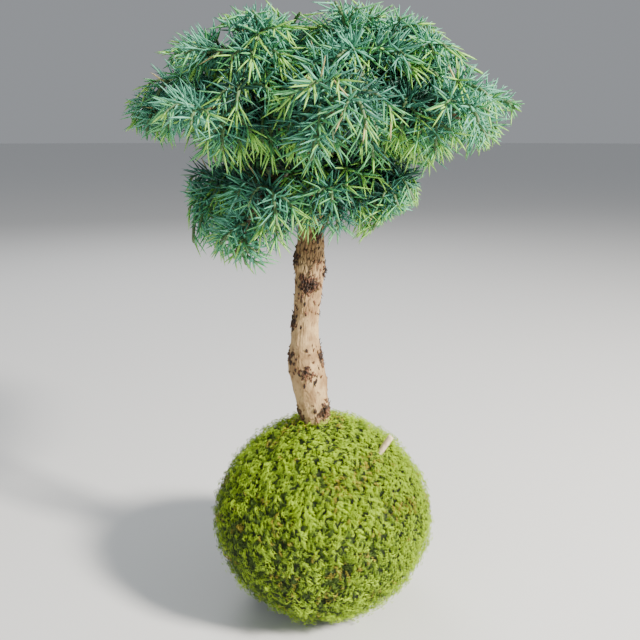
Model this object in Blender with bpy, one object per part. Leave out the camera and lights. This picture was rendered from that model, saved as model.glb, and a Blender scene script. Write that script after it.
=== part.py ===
"""Hoop pine kokedama: a young conifer that stands in a mossy root ball with a small wooden peg.

All sizes are in metres. The origin is the centre of the ball's flat underside, +Z points up
and the plant's front faces -Y.
"""

import math
import random
from collections import namedtuple

import bmesh
import bpy
import numpy as np
from mathutils import Vector, noise

UP = Vector((0, 0, 1))
CLEARANCE = 0.0003
SHARP_ANGLE = math.radians(55)

# Root ball: widest at its waist, narrower in the shoulders, cut flat underneath.
BALL_RADIUS = 0.0845
BALL_WAIST = 0.078
BALL_TOP = 0.1545
BALL_DEPTH = 0.0835
SHOULDER_ROUNDNESS = 1.6
BELLY_ROUNDNESS = 2.0
LUMP_HEIGHT = 0.0024
LUMP_WIDTH = 0.022
LEVEL_TOP = 0.35
CUTTER_LENGTH = 0.03

# Trunk: places along it as (height, lean to the right, lean to the back, radius).
TRUNK_COURSE = (
    (0.1500, -0.0054, 0.0000, 0.0112),
    (0.1880, -0.0113, -0.0010, 0.0132),
    (0.2120, -0.0132, -0.0016, 0.0107),
    (0.2365, -0.0120, -0.0018, 0.0093),
    (0.2680, -0.0093, -0.0012, 0.0102),
    (0.3150, -0.0080, 0.0000, 0.0079),
    (0.3880, -0.0045, 0.0006, 0.0032),
)
GROUND_LINE = 0.1555
BARK_RIDGE = 0.0006
BARK_FADES_FROM = 0.285
BARK_FADES_OVER = 0.020
TRUNK_SIDES = 16
TRUNK_RINGS = 26
# Swellings and scars as (height, azimuth in degrees, how far out, how wide).
BURLS = (
    (0.273, 180, 0.0018, 0.0075),
    (0.259, 280, -0.0012, 0.0065),
    (0.192, 160, 0.0012, 0.0090),
    (0.184, 0, 0.0009, 0.0070),
    (0.163, 330, 0.0014, 0.0055),
)

# Peg: a round-ended dowel in the ball's upper right. Azimuths and elevations in degrees.
PEG_RADIUS = 0.0023
PEG_SHOWS = 0.0125
PEG_BURIED = 0.008
PEG_PLACE = (338, 52)
PEG_LEAN = (8, 56)
PEG_SIDES = 12
PEG_DOME = 0.45
# The dome's rings as (share of its rise, share of the peg's radius).
DOME_RINGS = ((0, 1), (0.65, 0.97), (0.87, 0.78), (0.97, 0.42))

# Boughs and the stems that go on from them, each at its root radius and its tip radius.
BOUGH_RADII = (0.0028, 0.0019)
BOUGH_COLLAR = 1.25
BOUGH_SIDES = 5
BOUGH_RINGS = 4
STEM_RADII = (0.0019, 0.0013)
STEM_SIDES = 4

# Foliage: side shoots leave their stem in turn, arch out and droop, ringed with needles.
SHOOT_RADII = (0.0015, 0.0010)
SHOOT_ROOT = 0.3
SHORTEST_SHOOT = 4
SHOOT_TURN = math.radians(137.5)
SHOOT_TRIES = (0, 0.7, -0.7)
# Shares of the stem's length, and how far a shoot leans along it, up and down.
FIRST_SHOOT = 0.08
LAST_SHOOT = 0.88
SHOOT_LEAN = (0.45, 0.75)
LIFT_ABOVE = 0.9
LIFT_BELOW = 0.6
SHOOT_SIDES = 3
RING_STEP = 0.0062
RING_TWIST = math.radians(28)
NEEDLE_LENGTH = 0.0165
OLD_SPREAD = math.radians(56)
YOUNG_SPREAD = math.radians(24)
YOUNG_RINGS = 3
LAST_NEEDLE = 0.9
NEEDLE_TRIES = (1, 0.8, 0.6)
NEEDLE_STEPS = (0.08, 0.21, 0.34, 0.47, 0.60, 0.73, 0.86, 1)
NEEDLE_GIRTHS = (0.0017, 0.0015, 0.0013, 0.0011, 0.0009, 0.0007, 0.0006, 0.0005)
NEEDLE_ROOM = 0.0011
SPACE_MARGIN = 0.0009
CROWN_CENTRE = -0.002
FIRST_SEED = 100
# The crown's outline as (height, reach to the right, reach to the left).
CROWN_OUTLINE = (
    (0.2640, 0.006, 0.052),
    (0.2830, 0.022, 0.090),
    (0.3000, 0.042, 0.094),
    (0.3150, 0.070, 0.094),
    (0.3350, 0.072, 0.099),
    (0.3430, 0.098, 0.101),
    (0.3550, 0.121, 0.108),
    (0.3670, 0.131, 0.137),
    (0.3830, 0.137, 0.135),
    (0.4000, 0.119, 0.114),
    (0.4200, 0.088, 0.108),
    (0.4380, 0.068, 0.076),
    (0.4490, 0.028, 0.024),
)

Limb = namedtuple("Limb", "name azimuth root rise tip end shoots shoot_length droop")
Twig = namedtuple("Twig", "path heading radii sides root_share bare")

# Azimuths in degrees from the right hand side, anticlockwise from above. A tip or an end is
# (reach from the crown's centre, height). Root heights are on the trunk.
LIMBS = (
    Limb("right", 2, 0.345, 42, (0.028, 0.370), (0.121, 0.378), 8, 0.046, 22),
    Limb("right_front", 320, 0.352, 38, (0.026, 0.370), (0.108, 0.372), 8, 0.046, 23),
    Limb("front", 274, 0.344, 46, (0.026, 0.371), (0.098, 0.374), 8, 0.046, 24),
    Limb("left_front", 226, 0.352, 38, (0.028, 0.370), (0.108, 0.372), 8, 0.046, 23),
    Limb("left", 181, 0.345, 44, (0.030, 0.370), (0.124, 0.383), 8, 0.046, 22),
    Limb("left_back", 136, 0.352, 40, (0.028, 0.371), (0.110, 0.372), 8, 0.046, 23),
    Limb("back", 92, 0.344, 44, (0.028, 0.369), (0.106, 0.372), 8, 0.046, 24),
    Limb("right_back", 47, 0.352, 40, (0.028, 0.371), (0.110, 0.374), 8, 0.046, 23),
    Limb("upper_right", 340, 0.366, 52, (0.018, 0.390), (0.082, 0.411), 8, 0.040, 16),
    Limb("upper_front", 294, 0.373, 54, (0.016, 0.394), (0.072, 0.406), 7, 0.040, 17),
    Limb("upper_left_front", 226, 0.366, 52, (0.020, 0.390), (0.086, 0.410), 8, 0.040, 16),
    Limb("upper_left", 172, 0.373, 54, (0.022, 0.394), (0.094, 0.418), 8, 0.040, 14),
    Limb("upper_back", 110, 0.366, 52, (0.019, 0.390), (0.078, 0.406), 8, 0.040, 17),
    Limb("upper_right_back", 52, 0.373, 54, (0.018, 0.394), (0.080, 0.408), 8, 0.040, 16),
    Limb("low_left", 182, 0.323, 22, (0.028, 0.331), (0.090, 0.310), 7, 0.040, 28),
    Limb("low_left_front", 222, 0.330, 16, (0.026, 0.335), (0.074, 0.287), 7, 0.038, 30),
    Limb("low_front", 276, 0.322, 24, (0.022, 0.332), (0.052, 0.326), 6, 0.032, 28),
    Limb("low_right_front", 325, 0.331, 18, (0.024, 0.338), (0.056, 0.307), 7, 0.034, 28),
    Limb("low_right_back", 20, 0.323, 18, (0.026, 0.333), (0.070, 0.321), 7, 0.036, 26),
    Limb("low_back", 82, 0.331, 16, (0.026, 0.337), (0.072, 0.312), 7, 0.038, 28),
    Limb("low_left_back", 136, 0.322, 20, (0.027, 0.331), (0.078, 0.308), 7, 0.038, 28),
)
# Stems that leave the top of the trunk itself.
LEADERS = (
    Limb("top_right", 14, 0.385, 66, None, (0.038, 0.429), 8, 0.036, 10),
    Limb("top_left", 204, 0.381, 52, None, (0.050, 0.424), 8, 0.038, 12),
)

MOSS = ("moss", (0.24, 0.36, 0.03), 0.95)
BARK = ("bark", (0.42, 0.29, 0.18), 0.85)
TWIG_BARK = ("twig bark", (0.30, 0.20, 0.12), 0.85)
NEEDLES = ("needles", (0.10, 0.27, 0.19), 0.55)
PEG_WOOD = ("peg wood", (0.80, 0.66, 0.46), 0.60)


def clear_scene():
    for thing in list(bpy.data.objects):
        bpy.data.objects.remove(thing, do_unlink=True)


def material(name, colour, roughness):
    """A plain finish, made once and shared by the pieces that have it."""
    if name in bpy.data.materials:
        return bpy.data.materials[name]
    made = bpy.data.materials.new(name)
    made.use_nodes = True
    shader = made.node_tree.nodes["Principled BSDF"]
    shader.inputs["Base Color"].default_value = (*colour, 1)
    shader.inputs["Roughness"].default_value = roughness
    shader.inputs["Metallic"].default_value = 0
    return made


def make_object(name, bm, finish, collection=None):
    """Turns a bmesh into an object with its faces pointing out."""
    bmesh.ops.recalc_face_normals(bm, faces=bm.faces)
    mesh = bpy.data.meshes.new(name)
    bm.to_mesh(mesh)
    bm.free()
    mesh.materials.append(material(*finish))
    thing = bpy.data.objects.new(name, mesh)
    (collection or bpy.context.scene.collection).objects.link(thing)
    return thing


def shade(thing):
    """Smooth, with its edges kept."""
    thing.data.shade_smooth()
    thing.data.set_sharp_from_angle(angle=SHARP_ANGLE)


def cut_with(thing, cutter):
    cutter.hide_render = True
    cutter.display_type = "WIRE"
    cut = thing.modifiers.new("cut", "BOOLEAN")
    cut.operation = "DIFFERENCE"
    cut.solver = "EXACT"
    cut.object = cutter


def smooth_course(stations, height):
    """The values at a height, on a smooth curve through the stations."""
    last = len(stations) - 2
    at = next((i for i in range(last + 1) if height <= stations[i + 1][0]), last)
    here, there = np.array(stations[at]), np.array(stations[at + 1])
    before = np.array(stations[max(at - 1, 0)])
    after = np.array(stations[min(at + 2, last + 1)])
    span = there[0] - here[0]
    t = min(max((height - here[0]) / span, 0), 1)
    leave = (there - before) / (there[0] - before[0]) * span
    arrive = (after - here) / (after[0] - here[0]) * span
    return (
        (2 * t**3 - 3 * t**2 + 1) * here
        + (t**3 - 2 * t**2 + t) * leave
        + (3 * t**2 - 2 * t**3) * there
        + (t**3 - t**2) * arrive
    )


def trunk_at(height):
    """Centre and radius of the trunk. Its foot stands straight below the moss."""
    _, x, y, radius = smooth_course(TRUNK_COURSE, height)
    if height < GROUND_LINE:
        _, x, y, radius = TRUNK_COURSE[0]
    return Vector((x, y, height)), float(radius)


def compass(azimuth, elevation=0.0):
    """The direction at an azimuth and an elevation in degrees."""
    a, e = math.radians(azimuth), math.radians(elevation)
    return Vector((math.cos(a) * math.cos(e), math.sin(a) * math.cos(e), math.sin(e)))


def skin(bm, rings):
    """Quads between rings of vertices, with a face at each end."""
    for low, high in zip(rings, rings[1:]):
        for i in range(len(low)):
            j = (i + 1) % len(low)
            bm.faces.new((low[i], low[j], high[j], high[i]))
    bm.faces.new(reversed(rings[0]))
    bm.faces.new(rings[-1])


def ball_surface(direction):
    """The point of the root ball's lumpy skin in a direction from its waist."""
    across = math.hypot(direction.x, direction.y)
    above = direction.z > 0
    power = SHOULDER_ROUNDNESS if above else BELLY_ROUNDNESS
    half = BALL_TOP - BALL_WAIST if above else BALL_DEPTH
    size = (across**power + abs(direction.z) ** power) ** (-1 / power)
    point = Vector((direction.x * BALL_RADIUS, direction.y * BALL_RADIUS, direction.z * half))
    point *= size
    point.z += BALL_WAIST
    lump = noise.noise(point / LUMP_WIDTH) + 0.5 * noise.noise(point * 2.3 / LUMP_WIDTH)
    level = min(across / LEVEL_TOP, 1) if above else 1
    return point + direction * lump * LUMP_HEIGHT * level


def peg_pose():
    """Where the peg leaves the moss, and the direction that it points."""
    return ball_surface(compass(*PEG_PLACE)), compass(*PEG_LEAN)


def root_ball():
    bm = bmesh.new()
    bmesh.ops.create_icosphere(bm, subdivisions=4, radius=1)
    for vertex in bm.verts:
        vertex.co = ball_surface(vertex.co.normalized())
    everything = bm.verts[:] + bm.edges[:] + bm.faces[:]
    cut = bmesh.ops.bisect_plane(
        bm, geom=everything, plane_co=(0, 0, 0), plane_no=(0, 0, -1), clear_outer=True
    )
    rim = [part for part in cut["geom_cut"] if isinstance(part, bmesh.types.BMEdge)]
    bmesh.ops.contextual_create(bm, geom=rim)
    ball = make_object("root_ball", bm, MOSS)
    shade(ball)

    foot, radius = trunk_at(0)
    socket = round_bar("trunk_socket", radius + CLEARANCE, CUTTER_LENGTH, TRUNK_SIDES)
    socket.location = (foot.x, foot.y, TRUNK_COURSE[0][0] - CLEARANCE)
    cut_with(ball, socket)

    start, direction = peg_pose()
    bore = round_bar("peg_bore", PEG_RADIUS + CLEARANCE, CUTTER_LENGTH, PEG_SIDES)
    bore.location = start - direction * (PEG_BURIED + CLEARANCE)
    bore.rotation_mode = "QUATERNION"
    bore.rotation_quaternion = direction.to_track_quat("Z", "Y")
    cut_with(ball, bore)
    return ball


def round_bar(name, radius, length, sides):
    """A plain bar that stands on its own origin."""
    bm = bmesh.new()
    skin(bm, [level_ring(bm, z, radius, sides) for z in (0, length)])
    return make_object(name, bm, MOSS)


def ring_of(bm, centre, side, other, radius, sides, turn=0.0):
    """A ring of vertices round a centre, in the plane of two directions."""
    angles = [turn + math.tau * i / sides for i in range(sides)]
    return [bm.verts.new(centre + (side * math.cos(a) + other * math.sin(a)) * radius) for a in angles]


def level_ring(bm, height, radius, sides):
    return ring_of(bm, UP * height, Vector((1, 0, 0)), Vector((0, 1, 0)), radius, sides)


def peg():
    start, direction = peg_pose()
    rise = PEG_RADIUS * PEG_DOME
    shoulder = PEG_BURIED + PEG_SHOWS - rise
    bm = bmesh.new()
    rings = [level_ring(bm, 0, PEG_RADIUS, PEG_SIDES)]
    for up, width in DOME_RINGS:
        rings.append(level_ring(bm, shoulder + up * rise, PEG_RADIUS * width, PEG_SIDES))
    skin(bm, rings)
    thing = make_object("peg", bm, PEG_WOOD)
    thing.location = start - direction * PEG_BURIED
    thing.rotation_mode = "QUATERNION"
    thing.rotation_quaternion = direction.to_track_quat("Z", "Y")
    shade(thing)
    return thing


def bark_relief(azimuth, height):
    """How far the bark stands out from the trunk's round section."""
    if height < GROUND_LINE:
        return 0.0
    fade = min(max(1 - (height - BARK_FADES_FROM) / BARK_FADES_OVER, 0), 1)
    around = compass(math.degrees(azimuth)) * 2.2
    ridge = noise.noise(Vector((around.x, around.y, height * 110))) * BARK_RIDGE
    ridge += noise.noise(Vector((around.x * 2, around.y * 2, height * 260))) * BARK_RIDGE * 0.6
    for burl_height, burl_azimuth, out, wide in BURLS:
        turn = math.remainder(azimuth - math.radians(burl_azimuth), math.tau)
        away = math.hypot(turn * 0.010, height - burl_height) / wide
        ridge += out * math.exp(-2 * away * away)
    return ridge * fade


def trunk():
    bm = bmesh.new()
    foot, top = TRUNK_COURSE[0][0], TRUNK_COURSE[-1][0]
    heights = [foot, GROUND_LINE]
    heights += [GROUND_LINE + (top - GROUND_LINE) * i / TRUNK_RINGS for i in range(1, TRUNK_RINGS + 1)]
    rings = []
    for height in heights:
        centre, radius = trunk_at(height)
        ring = []
        for i in range(TRUNK_SIDES):
            azimuth = math.tau * i / TRUNK_SIDES
            out = radius + bark_relief(azimuth, height)
            ring.append(bm.verts.new(centre + compass(math.degrees(azimuth)) * out))
        rings.append(ring)
    skin(bm, rings)
    thing = make_object("trunk", bm, BARK)
    shade(thing)
    return thing


def arch(start, heading, end, count):
    """Points along an arch that leaves its start in a heading and comes to its end."""
    bend = start + heading * ((end - start).length * 0.5)
    steps = [i / (count - 1) for i in range(count)]
    return [start * (1 - t) ** 2 + bend * (2 * t * (1 - t)) + end * t * t for t in steps]


def crown_point(azimuth, reach_and_height):
    reach, height = reach_and_height
    return Vector((CROWN_CENTRE, 0, height)) + compass(azimuth) * reach


def beside_trunk(limb, below, away):
    """A point on the limb's side of the trunk, clear of the skin there and a little below."""
    centre, _ = trunk_at(limb.root)
    _, widest = trunk_at(limb.root - below)
    return centre + compass(limb.azimuth) * (widest + CLEARANCE + away)


def bough_path(limb):
    start = beside_trunk(limb, BOUGH_RADII[0] * BOUGH_COLLAR, 0)
    tip = crown_point(limb.azimuth, limb.tip)
    return arch(start, compass(limb.azimuth, limb.rise), tip, BOUGH_RINGS)


def stem_start(limb):
    """Where a mass's stem starts and the way it leaves: at its bough's tip or by the trunk."""
    if limb.tip is None:
        start = beside_trunk(limb, STEM_RADII[0], STEM_RADII[0])
        return start, compass(limb.azimuth, limb.rise)
    path = bough_path(limb)
    heading = (path[-1] - path[-2]).normalized()
    return path[-1] + heading * CLEARANCE, heading


def stem_path(limb):
    start, heading = stem_start(limb)
    end = crown_point(limb.azimuth, limb.end)
    count = max(4, round((end - start).length / RING_STEP))
    return arch(start, heading, end, count)


def headings_of(path):
    """The direction at each point of a path."""
    steps = [(b - a).normalized() for a, b in zip(path, path[1:])]
    inner = [(a + b).normalized() for a, b in zip(steps, steps[1:])]
    return [steps[0], *inner, steps[-1]]


def tube(bm, path, radii, sides, twist=0.0, first_heading=None, collar=1.0):
    """Rings of vertices that follow a path without turning round it, apart from a twist."""
    headings = headings_of(path)
    if first_heading:
        headings[0] = first_heading
    side = UP.cross(headings[0])
    side = side.normalized() if side.length > 0.05 else Vector((1, 0, 0))
    rings = []
    for i, (point, heading) in enumerate(zip(path, headings)):
        side = (side - heading * side.dot(heading)).normalized()
        other = heading.cross(side)
        t = i / (len(path) - 1)
        radius = radii[0] + (radii[1] - radii[0]) * t
        if i == 0:
            radius *= collar
        rings.append(ring_of(bm, point, side, other, radius, sides, twist * i))
    return rings, headings


def bough(limb):
    bm = bmesh.new()
    rings, _ = tube(
        bm,
        bough_path(limb),
        BOUGH_RADII,
        BOUGH_SIDES,
        first_heading=compass(limb.azimuth),
        collar=BOUGH_COLLAR,
    )
    skin(bm, rings)
    thing = make_object("bough_" + limb.name, bm, TWIG_BARK)
    shade(thing)
    return thing


def limb_spheres():
    """Centres and radii of close-set spheres that fill the trunk and every bough."""
    top = TRUNK_COURSE[-1][0]
    steps = round((top - GROUND_LINE) / 0.002)
    balls = [trunk_at(top - i * 0.002) for i in range(steps + 1)]
    for limb in LIMBS:
        path = bough_path(limb)
        for a, b in zip(path, path[1:]):
            balls += [(a.lerp(b, k / 6), BOUGH_RADII[0]) for k in range(7)]
    return np.array([c for c, _ in balls]), np.array([r for _, r in balls])


def crown_reach(direction_x, height):
    """How far the crown reaches at a height. Direction 1 is to the right and -1 to the left."""
    heights, right, left = zip(*CROWN_OUTLINE)
    share = (1 + direction_x) / 2
    return share * np.interp(height, heights, right) + (1 - share) * np.interp(height, heights, left)


def in_crown(point):
    across = Vector((point.x - CROWN_CENTRE, point.y))
    if not CROWN_OUTLINE[0][0] < point.z < CROWN_OUTLINE[-1][0]:
        return False
    return across.length < crown_reach(across.normalized().x, point.z)


class Space:
    """The room that one mass keeps to: nearer its own stem than to any other, and off the limbs."""

    def __init__(self, own, others, limbs):
        self.own = np.array(own)
        self.others = np.array(others)
        self.limb_centres, self.limb_radii = limbs
        self.taken = np.zeros((0, 3))
        self.taken_radii = np.zeros(0)
        self.takers = np.zeros(0, int)

    def holds(self, points, room):
        """Whether every point lies in the space, and at least this far from the limbs."""
        for point in points:
            if not in_crown(point):
                return False
            own = np.linalg.norm(self.own - point, axis=1)
            near = self.own[own.argmin()]
            gaps = np.linalg.norm(self.others - near, axis=1)
            past = (np.linalg.norm(self.others - point, axis=1) ** 2 - own.min() ** 2) / (2 * gaps)
            if past.min() < SPACE_MARGIN:
                return False
            limbs = np.linalg.norm(self.limb_centres - point, axis=1) - self.limb_radii
            if limbs.min() < room:
                return False
        return True

    def free(self, points, radii, shoot):
        """Whether these small spheres keep clear of the needles and twigs of other shoots."""
        strangers = self.takers != shoot
        gaps = np.linalg.norm(self.taken[strangers][None] - np.array(points)[:, None], axis=2)
        gaps -= self.taken_radii[strangers][None] + np.array(radii)[:, None]
        return not gaps.size or gaps.min() > 0

    def take(self, points, radii, shoot):
        self.taken = np.concatenate([self.taken, np.array(points)])
        self.taken_radii = np.concatenate([self.taken_radii, radii])
        self.takers = np.concatenate([self.takers, np.full(len(points), shoot)])


def grow_shoot(start, heading, length, droop, space):
    """A path that arches out and hangs, cut short where it would leave its space."""
    path = [start]
    heading = heading.normalized()
    while (len(path) - 1) * RING_STEP < length:
        point = path[-1] + heading * RING_STEP
        room = SHOOT_RADII[0] + SPACE_MARGIN
        if len(path) > 1 and not space.holds([point, point.lerp(path[-1], 0.5)], room):
            break
        path.append(point)
        heading = (heading - UP * droop * RING_STEP).normalized()
    return path


def needle_line(corners, centre, heading, young, rng):
    """Root and tip of the needle that stands on a face. Young ones close up to the heading."""
    middle = sum(corners, Vector()) / len(corners)
    outward = middle - centre
    outward = (outward - heading * outward.dot(heading)).normalized()
    spread = OLD_SPREAD + (YOUNG_SPREAD - OLD_SPREAD) * young
    spread *= rng.uniform(0.94, 1.06)
    length = NEEDLE_LENGTH * rng.uniform(0.85, 1.05)
    return middle, middle + (outward * math.sin(spread) + heading * math.cos(spread)) * length


def stand_needle(bm, face, root, tip, space, number):
    """Raises one face into a needle, shorter where space is short, or leaves it flat."""
    for share in NEEDLE_TRIES:
        line = [root.lerp(tip, t * share) for t in NEEDLE_STEPS]
        if space.holds(line[1::2], NEEDLE_ROOM) and space.free(line, NEEDLE_GIRTHS, number):
            space.take(line, NEEDLE_GIRTHS, number)
            point = bm.verts.new(line[-1])
            for m in range(4):
                bm.faces.new((face[m], face[(m + 1) % 4], point))
            return
    bm.faces.new(face)


def leafy_twig(twig, space, number, rng, collection):
    """One twig of a mass: a slim core whose faces past the bare part stand out as needles."""
    bm = bmesh.new()
    path, sides = twig.path, twig.sides
    rings, headings = tube(
        bm, path, twig.radii, sides, RING_TWIST, first_heading=twig.heading, collar=twig.root_share
    )
    bm.faces.new(reversed(rings[0]))
    last = len(rings) - 1
    for i in range(last):
        young = max(0.0, (i + YOUNG_RINGS - last) / YOUNG_RINGS)
        centre = (path[i] + path[i + 1]) / 2
        for k in range(sides):
            j = (k + 1) % sides
            face = (rings[i][k], rings[i][j], rings[i + 1][j], rings[i + 1][k])
            if i < twig.bare:
                bm.faces.new(face)
                continue
            corners = [vertex.co for vertex in face]
            root, tip = needle_line(corners, centre, headings[i], young, rng)
            stand_needle(bm, face, root, tip, space, number)
    end = path[-1] + headings[-1] * NEEDLE_LENGTH * LAST_NEEDLE
    line = [path[-1].lerp(end, t) for t in NEEDLE_STEPS]
    if space.holds(line, NEEDLE_ROOM) and space.free(line, NEEDLE_GIRTHS, number):
        space.take(line, NEEDLE_GIRTHS, number)
    else:
        end = path[-1] + headings[-1] * twig.radii[1]
    point = bm.verts.new(end)
    for k in range(sides):
        bm.faces.new((rings[-1][k], rings[-1][(k + 1) % sides], point))
    return make_object(f"twig_{number}", bm, NEEDLES, collection)


def shoot_plan(limb, stem, rng):
    """(start, possible headings, length) of each side shoot, in a spiral round the stem."""
    headings = headings_of(stem)
    last = len(stem) - 1
    roll = rng.uniform(0, math.tau)
    for i in range(limb.shoots):
        t = FIRST_SHOOT + (LAST_SHOOT - FIRST_SHOOT) * i / (limb.shoots - 1)
        at = t * last
        low = min(int(at), last - 1)
        start = stem[low].lerp(stem[low + 1], at - low)
        along = headings[low]
        across = along.cross(UP).normalized()
        above = across.cross(along)
        roll += SHOOT_TURN
        choices = []
        for shift in SHOOT_TRIES:
            rise = math.sin(roll + shift)
            lift = above * rise * (LIFT_ABOVE if rise > 0 else LIFT_BELOW)
            choices.append(along * rng.uniform(*SHOOT_LEAN) + across * math.cos(roll + shift) + lift)
        yield start, choices, limb.shoot_length * rng.uniform(0.9, 1.1) * (1.08 - 0.35 * t)


def shells_of(bm):
    """The faces in groups that join edge to edge, the largest group first."""
    unseen, shells = set(bm.faces), []
    while unseen:
        shell, waiting = [], [unseen.pop()]
        while waiting:
            face = waiting.pop()
            shell.append(face)
            for edge in face.edges:
                beside = set(edge.link_faces) & unseen if len(edge.link_faces) == 2 else set()
                unseen -= beside
                waiting += beside
        shells.append(shell)
    return sorted(shells, key=len, reverse=True)


def keep_largest_shell(mesh):
    """Drops loose scraps and fills sealed hollows."""
    bm = bmesh.new()
    bm.from_mesh(mesh)
    bmesh.ops.triangulate(bm, faces=bm.faces)
    scraps = [face for shell in shells_of(bm)[1:] for face in shell]
    bmesh.ops.delete(bm, geom=scraps, context="FACES")
    bm.to_mesh(mesh)
    bm.free()


def join_all(name, collection):
    """One Boolean union of everything in a collection, which is then emptied."""
    pieces = list(collection.objects)
    body = pieces[0]
    collection.objects.unlink(body)
    bpy.context.scene.collection.objects.link(body)
    union = body.modifiers.new("union", "BOOLEAN")
    union.operation = "UNION"
    union.solver = "EXACT"
    union.operand_type = "COLLECTION"
    union.collection = collection
    graph = bpy.context.evaluated_depsgraph_get()
    joined = bpy.data.meshes.new_from_object(body.evaluated_get(graph))
    body.modifiers.remove(union)
    body.data = joined
    body.name = name
    joined.name = name
    keep_largest_shell(joined)
    for piece in pieces[1:]:
        bpy.data.objects.remove(piece, do_unlink=True)
    bpy.data.collections.remove(collection)
    return body


def foliage(limb, order, hearts, limbs):
    """One mass: a stem with its terminal needles, and side shoots fused to it."""
    rng = random.Random(FIRST_SEED + order)
    others = [h for name, points in hearts.items() if name != limb.name for h in points]
    space = Space(hearts[limb.name], others, limbs)
    stem = stem_path(limb)
    heading = stem_start(limb)[1]
    twigs = [Twig(stem, heading, STEM_RADII, STEM_SIDES, 1, len(stem) // 3)]
    for start, choices, length in shoot_plan(limb, stem, rng):
        tries = [grow_shoot(start, way, length, limb.droop, space) for way in choices]
        longest = max(tries, key=len)
        if len(longest) >= SHORTEST_SHOOT:
            twigs.append(Twig(longest, None, SHOOT_RADII, SHOOT_SIDES, SHOOT_ROOT, 1))
    for number, twig in enumerate(twigs):
        steps = zip(twig.path, twig.path[1:])
        line = [a.lerp(b, t) for a, b in steps for t in (0, 0.33, 0.67)]
        space.take(line, [STEM_RADII[0]] * len(line), number)
    collection = bpy.data.collections.new("twigs")
    bpy.context.scene.collection.children.link(collection)
    for number, twig in enumerate(twigs):
        leafy_twig(twig, space, number, rng, collection)
    return join_all("foliage_" + limb.name, collection)


def crown():
    everyone = LIMBS + LEADERS
    hearts = {}
    for limb in everyone:
        stem = stem_path(limb)
        hearts[limb.name] = [stem[0].lerp(stem[1], 0.3), stem[len(stem) // 2], stem[-1]]
    limbs = limb_spheres()
    for limb in LIMBS:
        bough(limb)
    for order, limb in enumerate(everyone):
        foliage(limb, order, hearts, limbs)


def main():
    clear_scene()
    root_ball()
    peg()
    trunk()
    crown()


if __name__ == "__main__":
    main()
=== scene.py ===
"""Hoop pine kokedama: the finished plant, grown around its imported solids.

Sizes are in metres. The plant stands on the origin, +Z points up and its front faces -Y.
Twigs and needles follow the growth rule of the solid masses and are finer than theirs.
"""

import math
import random
from collections import namedtuple

import bpy
import numpy as np
from bpy.props import FloatProperty, FloatVectorProperty, IntProperty, PointerProperty
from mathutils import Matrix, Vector, noise


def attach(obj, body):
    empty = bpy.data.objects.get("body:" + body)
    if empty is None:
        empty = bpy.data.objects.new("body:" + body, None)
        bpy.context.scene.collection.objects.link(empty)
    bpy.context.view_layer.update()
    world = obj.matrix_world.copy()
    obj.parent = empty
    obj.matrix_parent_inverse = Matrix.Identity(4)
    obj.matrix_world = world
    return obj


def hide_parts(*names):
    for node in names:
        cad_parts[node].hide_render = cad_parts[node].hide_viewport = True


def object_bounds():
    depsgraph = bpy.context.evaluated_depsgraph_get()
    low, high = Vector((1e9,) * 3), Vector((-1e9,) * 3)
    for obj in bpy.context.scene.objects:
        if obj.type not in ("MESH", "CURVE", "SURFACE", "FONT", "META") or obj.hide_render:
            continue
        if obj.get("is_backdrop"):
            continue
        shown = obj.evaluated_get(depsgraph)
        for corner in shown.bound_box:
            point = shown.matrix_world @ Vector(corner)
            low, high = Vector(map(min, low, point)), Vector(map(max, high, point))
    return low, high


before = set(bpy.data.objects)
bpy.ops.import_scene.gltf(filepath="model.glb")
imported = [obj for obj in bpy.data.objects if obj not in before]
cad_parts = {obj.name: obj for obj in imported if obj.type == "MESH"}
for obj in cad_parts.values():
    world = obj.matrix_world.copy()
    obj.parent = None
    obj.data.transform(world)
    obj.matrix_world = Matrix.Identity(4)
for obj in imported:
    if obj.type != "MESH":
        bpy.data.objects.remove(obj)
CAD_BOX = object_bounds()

bl_info = {
    "name": "Hoop Pine Kokedama",
    "version": (1, 0, 0),
    "blender": (4, 5, 0),
    "location": "3D View > Sidebar > Kokedama",
    "description": "A young conifer in a mossy root ball, with a small wooden peg",
    "category": "Add Mesh",
}

UP = Vector((0, 0, 1))
CLEARANCE = 0.0003
NEARLY_UPRIGHT = 0.05
GOLDEN_TURN = math.radians(137.5)
FIRST_SEED = 100
FINER_SEED = FIRST_SEED * 7
FLAKE_SEED = FIRST_SEED + 31
FROND_SEED = FIRST_SEED + 5
# Blender's noise vectors take a shift from this seed, and from the clock where none is set.
BARK_SEED = 1795655279

# Root ball, as in the solid.
BALL_RADIUS = 0.0845
BALL_WAIST = 0.078
BALL_TOP = 0.1545
BALL_DEPTH = 0.0835
SHOULDER_ROUNDNESS = 1.6
BELLY_ROUNDNESS = 2.0
LUMP_HEIGHT = 0.0024
LUMP_WIDTH = 0.022
# Finer lumps on the lumps, as (how many times finer, share of the height).
FINER_LUMPS = (2.3, 0.5)
LEVEL_TOP = 0.35

# Trunk: places along it as (height, lean to the right, lean to the back, radius).
TRUNK_COURSE = (
    (0.1500, -0.0054, 0.0000, 0.0112),
    (0.1880, -0.0113, -0.0010, 0.0132),
    (0.2120, -0.0132, -0.0016, 0.0107),
    (0.2365, -0.0120, -0.0018, 0.0093),
    (0.2680, -0.0093, -0.0012, 0.0102),
    (0.3150, -0.0080, 0.0000, 0.0079),
    (0.3880, -0.0045, 0.0006, 0.0032),
)
GROUND_LINE = 0.1555
# Swellings and hollows as (height, azimuth in degrees, how far out, how wide).
BURLS = (
    (0.273, 180, 0.0018, 0.0075),
    (0.259, 280, -0.0012, 0.0065),
    (0.192, 160, 0.0012, 0.0090),
    (0.184, 0, 0.0009, 0.0070),
    (0.163, 330, 0.0014, 0.0055),
)
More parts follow.
